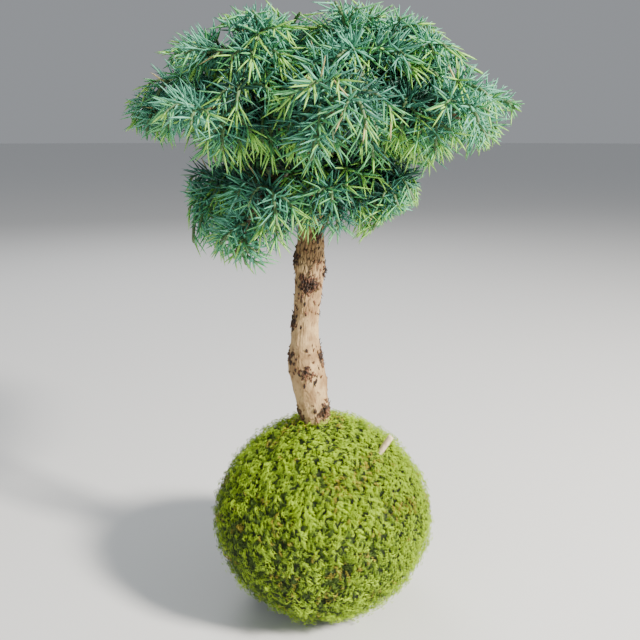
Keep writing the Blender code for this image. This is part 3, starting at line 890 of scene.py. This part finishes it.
def twig_shapes(twigs):
    """Points and faces of round twigs with pointed ends, all in one mesh."""
    points, quads, triangles = [], [], []
    for twig in twigs:
        path, (root, tip) = twig.path, twig.radii
        headings = headings_of(path)
        skin = closed_skin(len(path), TWIG_SIDES, len(points))
        quads.append(skin[0])
        triangles.append(skin[1])
        for t, centre, ring in rings_round(path, headings, TWIG_SIDES):
            points += [centre + spoke * (root + (tip - root) * t) for spoke in ring]
        behind, ahead = TWIG_ENDS
        points += [path[0] - headings[0] * root * behind, path[-1] + headings[-1] * tip * ahead]
    return np.array(points), np.concatenate(quads), np.concatenate(triangles)


def make_twigs(name, twigs, tint, masses):
    """One piece of twigs with mottled bark."""
    piece = mesh_piece(name, *twig_shapes(twigs))
    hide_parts(*masses)
    tree = paint(piece, name, tint, roughness=0.6)
    pattern = noise_map(tree, scale=260, detail=3)
    darker = [c * TWIG_SHADE for c in tint]
    dye(tree, ramp(tree, pattern, ((0.35, darker), (0.62, tint))))
    bump(tree, pattern, strength=0.4, distance=0.0004)


def make_foliage(look):
    """Twigs and needles of every mass, joined by kind."""
    rng = np.random.default_rng(FIRST_SEED)
    stems, shoots, rows = [], [], []
    for limb, order, space in crown_spaces():
        for number, twig in enumerate(grow_mass(limb, order, space)):
            row, shown = needles_on(twig, look, rng, space)
            rows.append(row)
            if shown:
                (shoots if number else stems).append(shown)
    needles = Needles(*(np.concatenate(column) for column in zip(*rows)))
    masses = ["foliage_" + limb.name for limb in LIMBS + LEADERS]
    make_twigs("stems", stems, look.stem, masses)
    make_twigs("shoots", shoots, look.twig, masses)
    for number, kind in enumerate(KINDS):
        piece = mesh_piece("needles_" + kind, *needle_shapes(needles, needles.kinds == number))
        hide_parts(*masses)
        paint(piece, "needles " + kind, getattr(look, kind), roughness=0.48)


# Bark

TRUNK_RINGS = 250
TRUNK_SIDES = 150
TRUNK_TIP = 0.001
# The relief fades out where the trunk is thinner than this.
FULL_RELIEF_FROM = 0.008
# Noise on the bark as (cells from the trunk's middle to its skin, cells to a metre of height).
SCAR_CELLS = (4, 260)
RIDGE_CELLS = (2.2, 110)
WARP_CELLS = (3, 90)
PLATE_CELLS = (5.5, 150)
GRAIN_CELLS = (14, 330)
FINE_CELLS = (30, 900)
# Plates are shorter on the lower trunk, by this many cells more to a metre.
LOW_PLATE_CELLS = 60
# Fractal noise as (dimension, step from one octave to the next, octaves).
RAGGED = (0.8, 2.1, 3)
SOFTER = (0.7, 2.1, 3)
EVEN = (0.7, 2.0, 3)
RIDGE_HEIGHT = 0.0006
GRAIN_HEIGHT = 0.00022
FINE_HEIGHT = 0.00010
WARP = 0.35
# Marks are measured round the trunk at these radii, and fade this fast from their middle.
BURL_GIRTH = 0.010
BURL_FADES = 2
SCAR_GIRTH = 0.0095
SCAR_FADES = 1.6
# A scar starts where its strength and this share of ragged noise pass a level.
SCAR_RAGGED = 0.55
SCAR_LEVEL = 0.28
SCAR_EDGE = 2.4
SCAR_HEIGHT = 0.0007
SCAR_GRAIN = 0.0013
# The upper trunk, where the bark breaks into plates.
PLATES_FROM = 0.215
PLATES_OVER = 0.05
CRACK_EDGE = 3.2
PLATE_LEVEL = 0.6
# How fully there are plates and open cracks, as (everywhere, more above, more in scars).
PLATE_SHARES = (0.25, 0.75, 0.8)
CRACK_SHARES = (0.35, 0.65, 1)

# Flakes. A third of them lie on the upper trunk, the others at the scars.
FLAKES = 620
# How far flakes stray from their scar, for each metre of its width: up or down in metres, and
# round the trunk in radians.
FLAKE_SCATTER = (0.5, 55)
FLAKE_HEIGHTS = (0.235, 0.345)
HIGHEST_FLAKE = 0.36
FLAKE_LENGTH = (0.0016, 0.0042)
FLAKE_WIDTH = (0.0009, 0.0022)
FLAKE_LIFT = (0.0003, 0.0015)
FLAKE_TILT = 0.4
FLAKE_SUNK = 0.0002
FLAKE_THICKNESS = 0.00025
# (place along the flake, share of its width, share of its lift)
FLAKE_SECTIONS = ((0, 0.7, 0), (0.5, 1, 0.35), (1, 0.45, 1))

# Boughs in the scene are finer than the solids and start inside the trunk's bark.
FINE_BOUGH_RINGS = 26
FINE_BOUGH_SIDES = 14
BOUGH_SUNK = 0.0016
BOUGH_TIP = 0.0008
BOUGH_SWELLS = 0.45
SWELLING_FADES = 9
BOUGH_RELIEF = 0.09
BOUGH_CELLS = (2, 14)
# Cells between the noise of one bough and the next.
NEXT_BOUGH = 9


def on_bark(around, cells, height):
    """A place on the bark, in cells of noise."""
    across, tall = cells
    return Vector((around.x * across, around.y * across, height * tall))


def far_from(azimuth, height, mark, girth):
    """How far a place on the bark lies from a mark, in the mark's own widths."""
    mark_height, mark_azimuth, wide = mark
    turn = math.remainder(azimuth - math.radians(mark_azimuth), math.tau)
    return math.hypot(turn * girth, height - mark_height) / wide


def scar_at(azimuth, height):
    """How strongly the bark is scarred at a place."""
    ragged = noise.fractal(on_bark(compass(math.degrees(azimuth)), SCAR_CELLS, height), *RAGGED)
    strength = 0
    for scar_height, scar_azimuth, wide, strong in SCARS:
        away = far_from(azimuth, height, (scar_height, scar_azimuth, wide), SCAR_GIRTH)
        strength = max(strength, strong * math.exp(-SCAR_FADES * away * away))
    return min(max((strength + SCAR_RAGGED * ragged - SCAR_LEVEL) * SCAR_EDGE, 0), 1)


def bark_depth(azimuth, height, look):
    """How far the bark stands out, how open its cracks are, and how scarred it is."""
    around = compass(math.degrees(azimuth))
    ridge = noise.noise(on_bark(around, RIDGE_CELLS, height)) * RIDGE_HEIGHT
    for burl_height, burl_azimuth, out, wide in BURLS:
        away = far_from(azimuth, height, (burl_height, burl_azimuth, wide), BURL_GIRTH)
        ridge += out * math.exp(-BURL_FADES * away * away)
    upper = min(max((height - PLATES_FROM) / PLATES_OVER, 0), 1)
    across, tall = PLATE_CELLS
    place = on_bark(around, (across, tall + LOW_PLATE_CELLS * (1 - upper)), height)
    warp = noise.noise_vector(on_bark(around, WARP_CELLS, height)) * WARP
    distances, _ = noise.voronoi(place + warp)
    crack = min((distances[1] - distances[0]) * CRACK_EDGE, 1)
    grain = noise.fractal(on_bark(around, GRAIN_CELLS, height), *RAGGED)
    fine = noise.noise(on_bark(around, FINE_CELLS, height))
    scar = scar_at(azimuth, height)
    plated, opened = (a + b * upper + c * scar for a, b, c in (PLATE_SHARES, CRACK_SHARES))
    plates = (crack - PLATE_LEVEL) * look.ridge * plated
    rough = scar * (SCAR_HEIGHT + SCAR_GRAIN * grain)
    open_crack = 1 - (1 - crack) * min(opened, 1)
    return ridge + plates + rough + grain * GRAIN_HEIGHT + fine * FINE_HEIGHT, open_crack, scar


def paint_bark(piece, look):
    """Bark in pale and tan with rusty specks, darker in its scars, and darker in its cracks partly as
    painted shade.
    """
    tree = paint(piece, "trunk bark", look.tan, roughness=0.88)
    broad = noise_map(tree, scale=60, detail=4, tall=0.6)
    tint = ramp(tree, broad, ((0.38, look.tan), (0.56, look.pale)))
    mottle = noise_map(tree, scale=170, detail=5, tall=0.7)
    tint = mixed(tree, mask(tree, mottle, none=0.48, full=0.66, most=0.8), tint, look.tan)
    specks = noise_map(tree, scale=420, detail=5, tall=0.5)
    tint = mixed(tree, mask(tree, specks, none=0.56, full=0.74, most=0.5), tint, look.rust)
    # Partly painted shade: the cracks, where the relief sinks, are darkened towards the dark colour.
    cracks = mask(tree, stored(tree, "crack"), none=0.52, full=0.12, most=0.85)
    tint = mixed(tree, cracks, tint, look.dark)
    burnt = noise_map(tree, scale=520, detail=4)
    burnt = ramp(tree, burnt, ((0.50, look.dark), (0.64, look.rust), (0.85, look.tan)))
    scars = mask(tree, stored(tree, "scar"), none=0.12, full=0.55, most=0.95)
    dye(tree, mixed(tree, scars, tint, burnt))
    grain = noise_map(tree, scale=1100, detail=6, tall=0.6)
    bump(tree, grain, strength=0.55, distance=0.0004)


def make_trunk(look):
    """The trunk's bark as one relief from the moss to its tip."""
    foot, top = TRUNK_COURSE[0][0], TRUNK_COURSE[-1][0]
    points, cracks, scars = [], [], []
    for i in range(TRUNK_RINGS):
        height = foot + (top - foot) * i / (TRUNK_RINGS - 1)
        centre, radius = trunk_at(height)
        thin = min(1, radius / FULL_RELIEF_FROM)
        for k in range(TRUNK_SIDES):
            azimuth = math.tau * k / TRUNK_SIDES
            out, crack, scar = bark_depth(azimuth, height, look)
            points.append(centre + compass(math.degrees(azimuth)) * (radius + out * thin))
            cracks.append(crack)
            scars.append(scar)
    points += [trunk_at(foot)[0], trunk_at(top)[0] + UP * TRUNK_TIP]
    piece = mesh_piece("trunk_bark", points, *closed_skin(TRUNK_RINGS, TRUNK_SIDES))
    store(piece, "crack", cracks + [1, 1])
    store(piece, "scar", scars + [0, 0])
    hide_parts("trunk")
    paint_bark(piece, look)


def flake_place(number, rng):
    """Height and azimuth of a flake."""
    if number % 3:
        height, azimuth, wide, _ = SCARS[number % len(SCARS)]
        height = rng.gauss(height, wide * FLAKE_SCATTER[0])
        azimuth = math.radians(azimuth) + rng.gauss(0, wide * FLAKE_SCATTER[1])
    else:
        height = rng.uniform(*FLAKE_HEIGHTS)
        azimuth = rng.uniform(0, math.tau)
    return min(max(height, GROUND_LINE), HIGHEST_FLAKE), azimuth


def make_flakes(look):
    """Loose flakes that curl off the trunk, most of them at its scars."""
    rng = random.Random(FLAKE_SEED)
    points, quads = [], []
    for number in range(FLAKES):
        height, azimuth = flake_place(number, rng)
        centre, radius = trunk_at(height)
        out, _, _ = bark_depth(azimuth, height, look)
        outward = compass(math.degrees(azimuth))
        across = UP.cross(outward)
        length, width, lift = (rng.uniform(*span) for span in (FLAKE_LENGTH, FLAKE_WIDTH, FLAKE_LIFT))
        tilt = rng.uniform(-FLAKE_TILT, FLAKE_TILT)
        along = (UP * rng.choice((-1, 1)) + across * tilt).normalized()
        base = centre + outward * (radius + out - FLAKE_SUNK)
        first = len(points)
        for t, wide, rise in FLAKE_SECTIONS:
            middle = base + along * length * t + outward * lift * rise
            for hand in (-1, 1):
                edge = middle + across * width * wide * hand / 2
                points += [edge, edge + outward * FLAKE_THICKNESS]
        for ring in (first, first + 4):
            for x, y in ((0, 1), (1, 3), (3, 2), (2, 0)):
                quads.append((ring + x, ring + y, ring + y + 4, ring + x + 4))
        quads.append((first, first + 2, first + 3, first + 1))
        quads.append((first + 9, first + 11, first + 10, first + 8))
    piece = mesh_piece("bark_flakes", points, quads)
    tree = paint(piece, "bark flakes", look.rust, roughness=0.85)
    pattern = noise_map(tree, scale=160, detail=3)
    tint = ramp(tree, pattern, ((0.44, look.dark), (0.56, look.rust), (0.70, look.tan)))
    dye(tree, tint)


def make_boughs(look):
    """Every bough as one tapering limb with thin rough bark, set into the trunk."""
    points, quads, triangles, cracks = [], [], [], []
    across, along = BOUGH_CELLS
    for order, limb in enumerate(LIMBS):
        path = bough_path(limb, FINE_BOUGH_RINGS)
        headings = headings_of(path)
        headings[0] = compass(limb.azimuth)
        path[0] -= headings[0] * BOUGH_SUNK
        skin = closed_skin(FINE_BOUGH_RINGS, FINE_BOUGH_SIDES, len(points))
        quads.append(skin[0])
        triangles.append(skin[1])
        for t, centre, ring in rings_round(path, headings, FINE_BOUGH_SIDES):
            radius = BOUGH_RADII[0] + (BOUGH_RADII[1] - BOUGH_RADII[0]) * t
            radius *= 1 + BOUGH_SWELLS * math.exp(-t * SWELLING_FADES)
            for k, spoke in enumerate(ring):
                a = math.tau * k / FINE_BOUGH_SIDES
                level = t * along + order * NEXT_BOUGH
                place = Vector((math.cos(a) * across, math.sin(a) * across, level))
                relief = noise.fractal(place, *EVEN)
                points.append(centre + spoke * radius * (1 + BOUGH_RELIEF * relief))
                cracks.append(0.5 + relief)
        points += [path[0], path[-1] + headings[-1] * BOUGH_TIP]
        cracks += [1, 1]
    piece = mesh_piece("boughs", points, np.concatenate(quads), np.concatenate(triangles))
    store(piece, "crack", cracks)
    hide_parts(*("bough_" + limb.name for limb in LIMBS))
    tree = paint(piece, "bough bark", look.bough, roughness=0.85)
    tint = ramp(tree, noise_map(tree, scale=180, detail=4), ((0.36, look.bough), (0.62, look.tan)))
    # Partly painted shade: the low places of the bough's relief are darkened towards the dark colour.
    cracks = mask(tree, stored(tree, "crack"), none=0.45, full=0.10, most=0.8)
    dye(tree, mixed(tree, cracks, tint, look.dark))
    bump(tree, noise_map(tree, scale=900, detail=4), strength=0.5, distance=0.0003)


# Root ball

# The felt lies this deep under the solid's skin, and its clumps stand out of it.
FELT_DEPTH = 0.0026
FELT_RINGS = 120
FELT_SIDES = 200
CLUMPS_A_METRE = 240
CLUMP_HEIGHT = 0.0011

# Places of the leaves along a frond.
LEAF_PLACES = (0.16, 0.28, 0.40, 0.52, 0.64, 0.76, 0.88, 1.0)
FROND_SCATTER = 0.008
LOWEST_FROND = 0.0035
# Patches of colour and tufts of height, in cells to a metre.
PATCHES_A_METRE = 45
TUFTS_A_METRE = 170
TUFT_HEIGHT = 0.0030
FROND_SUNK = 0.0024
# Fronds hang down the ball, and stray from that by this much.
FROND_STRAYS = 0.9
FROND_VARIES = (0.65, 1.15)
FROND_REACH = 0.8
FROND_LIFT = (0.0012, 0.0042)
TUFT_LIFT = 0.6
# A frond's arch as (rise in its middle, rise of its tip).
FROND_ARCH = (3.4, 0.35)
LEAF_AHEAD = 0.8
LEAF_ASIDE = 0.75
LEAF_STRAYS = 0.12
LEAF_VARIES = (0.85, 1.15)
LEAF_GIRTH = 0.00033
# The leaves along a frond, as (share at its root, how much of it is lost by its tip).
LEAF_LENGTH_WANES = (1.1, 0.35)
LEAF_GIRTH_WANES = (1.1, 0.4)
LEAF_LIFT_WANES = (0.42, 0.5)
LEAF_THICKNESS = 0.9
LEAF_FACES = ((0, 1, 3), (1, 2, 3), (2, 0, 3))
LOWEST_LEAF = 0.0001
# Shades of the fronds. Below the first step they are olive, and above the second bright.
FROND_KINDS = ("olive", "green", "bright", "straw")
SHADE_STEPS = (-0.22, 0.06)
SHADE_VARIES = 0.14
SHADE_OF_PATCH = 0.5
SHADE_OF_TUFT = 0.55
# Painted light: fronds on the right and on top of the ball are dealt brighter kinds, as if lit from the
# right and above.
PAINTED_LIGHT_TO_RIGHT = 0.22
PAINTED_LIGHT_TO_TOP = 0.20
DRY_PATCH = -0.34
DRY_IN_PATCH = 0.25
DRY_ANYWHERE = 0.010
# Fronds keep this far off the peg.
PEG_CLEARING = 0.0022


def make_felt(look):
    """The felt of the root ball under its fronds, flat underneath, dark as soil and as painted shade in
    the gaps between them.
    """
    points = []
    for i in range(FELT_RINGS):
        elevation = 90 - 180 * (i + 0.5) / FELT_RINGS
        for k in range(FELT_SIDES):
            direction = compass(360 * k / FELT_SIDES, elevation)
            point = ball_surface(direction)
            clump = noise.fractal(point * CLUMPS_A_METRE, *SOFTER)
            point -= direction * (FELT_DEPTH - clump * CLUMP_HEIGHT)
            point.z = max(point.z, 0)
            points.append(point)
    points += [Vector((0, 0, BALL_TOP - FELT_DEPTH)), Vector((0, 0, 0))]
    quads, triangles = closed_skin(FELT_RINGS, FELT_SIDES)
    piece = mesh_piece("moss_felt", points, quads[:, ::-1], triangles[:, ::-1])
    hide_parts("root_ball")
    tree = paint(piece, "moss felt", look.soil_and_shade, roughness=0.95)
    stops = ((0.35, [c * 0.5 for c in look.soil_and_shade]), (0.50, look.soil_and_shade), (0.70, look.olive))
    tint = ramp(tree, noise_map(tree, scale=300, detail=4), stops)
    dye(tree, tint)
    bump(tree, noise_map(tree, scale=900, detail=4), strength=0.6, distance=0.0006)


def ball_directions(count):
    """Directions spread evenly over a sphere in a spiral."""
    i = np.arange(count) + 0.5
    z = 1 - 2 * i / count
    turn = i * math.pi * (3 - math.sqrt(5))
    flat = np.sqrt(1 - z * z)
    return np.stack([flat * np.cos(turn), flat * np.sin(turn), z], axis=1)


def frond_places(look, rng):
    """Where fronds stand: outward directions, points of the skin, patches and tufts."""
    outward = unit(ball_directions(look.fronds) + rng.normal(0, FROND_SCATTER, (look.fronds, 3)))
    surface = np.array([ball_surface(Vector(d)) for d in outward])
    patch = np.array([noise.noise(Vector(p) * PATCHES_A_METRE) for p in surface])
    tuft = np.array([noise.noise(Vector(p) * TUFTS_A_METRE) for p in surface])
    keep = surface[:, 2] > LOWEST_FROND
    return outward[keep], surface[keep], patch[keep], tuft[keep]


def frond_leaves(look, rng, outward, surface, tuft):
    """The four corners of every leaf, frond by frond."""
    count = len(surface)
    slope = np.array((0, 0, -1.0)) + outward * outward[:, 2:]
    slope += rng.normal(0, FROND_STRAYS, (count, 3))
    slope = square_to(outward, slope)
    across = np.cross(outward, slope)
    base = surface - outward * (FROND_SUNK - TUFT_HEIGHT * tuft[:, None])
    length = look.length * rng.uniform(*FROND_VARIES, count)[:, None]
    lift = rng.uniform(*FROND_LIFT, count)[:, None] * (1 + TUFT_LIFT * tuft[:, None])
    leaves = []
    for number, t in enumerate(LEAF_PLACES):
        rise = lift * (FROND_ARCH[0] * t * (1 - t) + FROND_ARCH[1] * t)
        root = base + slope * length * t * FROND_REACH + outward * rise
        hand = 0 if t == 1 else (-1) ** number
        aim = slope * LEAF_AHEAD + across * (LEAF_ASIDE * hand) + outward * waning(LEAF_LIFT_WANES, t)
        aim = unit(aim + rng.normal(0, LEAF_STRAYS, (count, 3)))
        wide = unit(np.cross(aim, outward))
        size = look.leaf * waning(LEAF_LENGTH_WANES, t) * rng.uniform(*LEAF_VARIES, count)[:, None]
        girth = LEAF_GIRTH * waning(LEAF_GIRTH_WANES, t)
        top = root + outward * girth * LEAF_THICKNESS
        corners = (root - wide * girth, root + wide * girth, top, root + aim * size)
        leaves.append(np.stack(corners, axis=1))
    leaves = np.stack(leaves, axis=1)
    leaves[..., 2] = np.maximum(leaves[..., 2], LOWEST_LEAF)
    return leaves


def frond_kinds(rng, outward, patch, tuft):
    """The kind of each frond: brighter to the right and on top as painted light, brighter on tufts, dry
    in some patches.
    """
    count = len(patch)
    shade = patch * SHADE_OF_PATCH + tuft * SHADE_OF_TUFT + rng.normal(0, SHADE_VARIES, count)
    # Painted light: brighter to the right and on top.
    shade += PAINTED_LIGHT_TO_RIGHT * outward[:, 0] + PAINTED_LIGHT_TO_TOP * outward[:, 2]
    kinds = np.digitize(shade, SHADE_STEPS)
    straw = FROND_KINDS.index("straw")
    kinds[(patch < DRY_PATCH) & (rng.uniform(0, 1, count) < DRY_IN_PATCH)] = straw
    kinds[rng.uniform(0, 1, count) < DRY_ANYWHERE] = straw
    return kinds


def make_fronds(look):
    """Feathery fronds over the whole ball, dealt out to pieces by their colour."""
    rng = np.random.default_rng(FROND_SEED)
    outward, surface, patch, tuft = frond_places(look, rng)
    leaves = frond_leaves(look, rng, outward, surface, tuft)
    kinds = frond_kinds(rng, outward, patch, tuft)
    peg_foot, peg_way = np.array(ball_surface(compass(*PEG_PLACE))), np.array(compass(*PEG_LEAN))
    off_peg = np.linalg.norm(np.cross(surface - peg_foot, peg_way), axis=1) > PEG_RADIUS + PEG_CLEARING
    for number, kind in enumerate(FROND_KINDS):
        points = leaves[(kinds == number) & off_peg].reshape(-1, 4, 3)
        corners = (np.arange(len(points)) * 4)[:, None, None] + np.array(LEAF_FACES)[None]
        piece = mesh_piece("moss_" + kind, points, (), corners)
        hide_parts("root_ball")
        paint(piece, "moss " + kind, getattr(look, kind), roughness=0.7)


# Peg

PEG_SIDES = 48
# Rings along the peg up to its dome, and how many would reach its end.
PEG_RINGS = (22, 24)
# The dome as (distance from the end, share of the radius).
PEG_DOME = ((0.0010, 1.0), (0.0005, 0.95), (0.0002, 0.82), (0.00005, 0.5))
PEG_CELLS = (5, 120)
PEG_GRAIN = 0.018


def make_peg(look):
    """A turned dowel with a worn, slightly domed end."""
    direction = compass(*PEG_LEAN)
    start = ball_surface(compass(*PEG_PLACE)) - direction * PEG_BURIED
    side = UP.cross(direction).normalized()
    other = direction.cross(side)
    length = PEG_BURIED + PEG_SHOWS
    rings, whole = PEG_RINGS
    profile = [(length * i / whole, 1.0) for i in range(rings)]
    profile += [(length - from_end, share) for from_end, share in PEG_DOME]
    points = []
    for along, share in profile:
        for k, spoke in enumerate(spokes(side, other, PEG_SIDES)):
            around = compass(360 * k / PEG_SIDES)
            radius = PEG_RADIUS * share * (1 + PEG_GRAIN * noise.noise(on_bark(around, PEG_CELLS, along)))
            points.append(start + direction * along + spoke * radius)
    points += [start, start + direction * length]
    piece = mesh_piece("peg_dowel", points, *closed_skin(len(profile), PEG_SIDES))
    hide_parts("peg")
    tree = paint(piece, "peg wood", look.pale, roughness=0.6)
    grain = noise_map(tree, scale=900, detail=3, tall=0.25)
    tint = ramp(tree, grain, ((0.40, look.pale), (0.66, look.grain)))
    dye(tree, tint)
    fibre = noise_map(tree, scale=1500, detail=3, tall=0.2)
    bump(tree, fibre, strength=0.3, distance=0.0002)


# Stage

FLOOR_RADIUS = 30
SKY = (0.90, 0.94, 1.0, 1)
SKY_STRENGTH = 0.34
# Lights as (name, place, size, power in watts, colour). They all point at one height.
LIGHTS = (
    ("key", (1.25, -0.75, 1.15), 0.26, 96, (1.0, 0.95, 0.87)),
    ("fill", (-1.5, -1.3, 0.9), 1.6, 6, (0.86, 0.93, 1.0)),
    ("rim", (-0.5, 1.5, 1.5), 0.9, 16, (0.95, 0.97, 1.0)),
)
LIT_HEIGHT = 0.25
CAMERA_PLACE = (CROWN_CENTRE, -0.509, 0.363)
CAMERA_PITCH = 14.7
SENSOR_WIDTH = 36


def make_floor(look):
    bpy.ops.mesh.primitive_circle_add(vertices=96, radius=FLOOR_RADIUS, fill_type="NGON")
    floor = bpy.context.object
    floor.name = "studio_floor"
    floor.data.materials.append(surface("studio floor", look.floor, roughness=0.7))
    floor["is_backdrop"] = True


def make_lights():
    """A pale sky and three soft lights, the strongest from the front right."""
    world = bpy.data.worlds.new("studio")
    world.use_nodes = True
    sky = world.node_tree.nodes["Background"]
    sky.inputs["Color"].default_value = SKY
    sky.inputs["Strength"].default_value = SKY_STRENGTH
    bpy.context.scene.world = world
    for name, place, size, power, tint in LIGHTS:
        light = bpy.data.lights.new(name, "AREA")
        light.color = tint
        light.energy = power
        light.size = size
        lamp = bpy.data.objects.new(name, light)
        bpy.context.scene.collection.objects.link(lamp)
        lamp.location = place
        aim = UP * LIT_HEIGHT - Vector(place)
        lamp.rotation_euler = aim.to_track_quat("-Z", "Y").to_euler()


def make_camera(look):
    camera = bpy.data.cameras.new("camera")
    camera.lens = look.lens
    camera.sensor_width = SENSOR_WIDTH
    eye = bpy.data.objects.new("camera", camera)
    bpy.context.scene.collection.objects.link(eye)
    eye.location = CAMERA_PLACE
    eye.rotation_euler = (math.radians(90 - CAMERA_PITCH), 0, 0)
    bpy.context.scene.camera = eye


# Operators and panel


class KOKEDAMA_OT_root_ball(bpy.types.Operator):
    """Grow the moss over the root ball"""

    bl_idname = "kokedama.root_ball"
    bl_label = "Root ball"

    def execute(self, context):
        make_felt(context.scene.kokedama_moss)
        make_fronds(context.scene.kokedama_moss)
        return {"FINISHED"}


class KOKEDAMA_OT_peg(bpy.types.Operator):
    """Turn the wooden peg"""

    bl_idname = "kokedama.peg"
    bl_label = "Peg"

    def execute(self, context):
        make_peg(context.scene.kokedama_peg)
        return {"FINISHED"}


class KOKEDAMA_OT_trunk(bpy.types.Operator):
    """Model the trunk's bark and its loose flakes"""

    bl_idname = "kokedama.trunk"
    bl_label = "Trunk"

    def execute(self, context):
        noise.seed_set(BARK_SEED)
        make_trunk(context.scene.kokedama_bark)
        make_flakes(context.scene.kokedama_bark)
        return {"FINISHED"}


class KOKEDAMA_OT_boughs(bpy.types.Operator):
    """Model the boughs"""

    bl_idname = "kokedama.boughs"
    bl_label = "Boughs"

    def execute(self, context):
        make_boughs(context.scene.kokedama_bark)
        return {"FINISHED"}


class KOKEDAMA_OT_foliage(bpy.types.Operator):
    """Grow the twigs and needles of every mass"""

    bl_idname = "kokedama.foliage"
    bl_label = "Foliage"

    def execute(self, context):
        make_foliage(context.scene.kokedama_needles)
        return {"FINISHED"}


class KOKEDAMA_OT_stage(bpy.types.Operator):
    """Set up the floor, the lights and the camera"""

    bl_idname = "kokedama.stage"
    bl_label = "Stage"

    def execute(self, context):
        make_floor(context.scene.kokedama_stage)
        make_lights()
        make_camera(context.scene.kokedama_stage)
        return {"FINISHED"}


OPERATORS = (
    KOKEDAMA_OT_root_ball,
    KOKEDAMA_OT_peg,
    KOKEDAMA_OT_trunk,
    KOKEDAMA_OT_boughs,
    KOKEDAMA_OT_foliage,
    KOKEDAMA_OT_stage,
)


class KOKEDAMA_PT_panel(bpy.types.Panel):
    """The plant's settings and its steps"""

    bl_label = "Hoop Pine Kokedama"
    bl_idname = "KOKEDAMA_PT_panel"
    bl_space_type = "VIEW_3D"
    bl_region_type = "UI"
    bl_category = "Kokedama"

    def draw(self, context):
        for name, _ in SETTINGS:
            group = getattr(context.scene, name)
            box = self.layout.box()
            for key in group.__annotations__:
                box.prop(group, key)
        for operator in OPERATORS:
            self.layout.operator(operator.bl_idname)


def register():
    for name, group in SETTINGS:
        bpy.utils.register_class(group)
        setattr(bpy.types.Scene, name, PointerProperty(type=group))
    for each in (*OPERATORS, KOKEDAMA_PT_panel):
        bpy.utils.register_class(each)


def unregister():
    for each in (KOKEDAMA_PT_panel, *reversed(OPERATORS)):
        bpy.utils.unregister_class(each)
    for name, group in reversed(SETTINGS):
        delattr(bpy.types.Scene, name)
        bpy.utils.unregister_class(group)


def main():
    register()
    bpy.ops.kokedama.root_ball()
    bpy.ops.kokedama.peg()
    bpy.ops.kokedama.trunk()
    bpy.ops.kokedama.boughs()
    bpy.ops.kokedama.foliage()
    bpy.ops.kokedama.stage()
    boxes = {"cad": CAD_BOX, "visual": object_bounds()}
    {key: [list(corner) for corner in box] for key, box in boxes.items()}


if __name__ == "__main__":
    main()
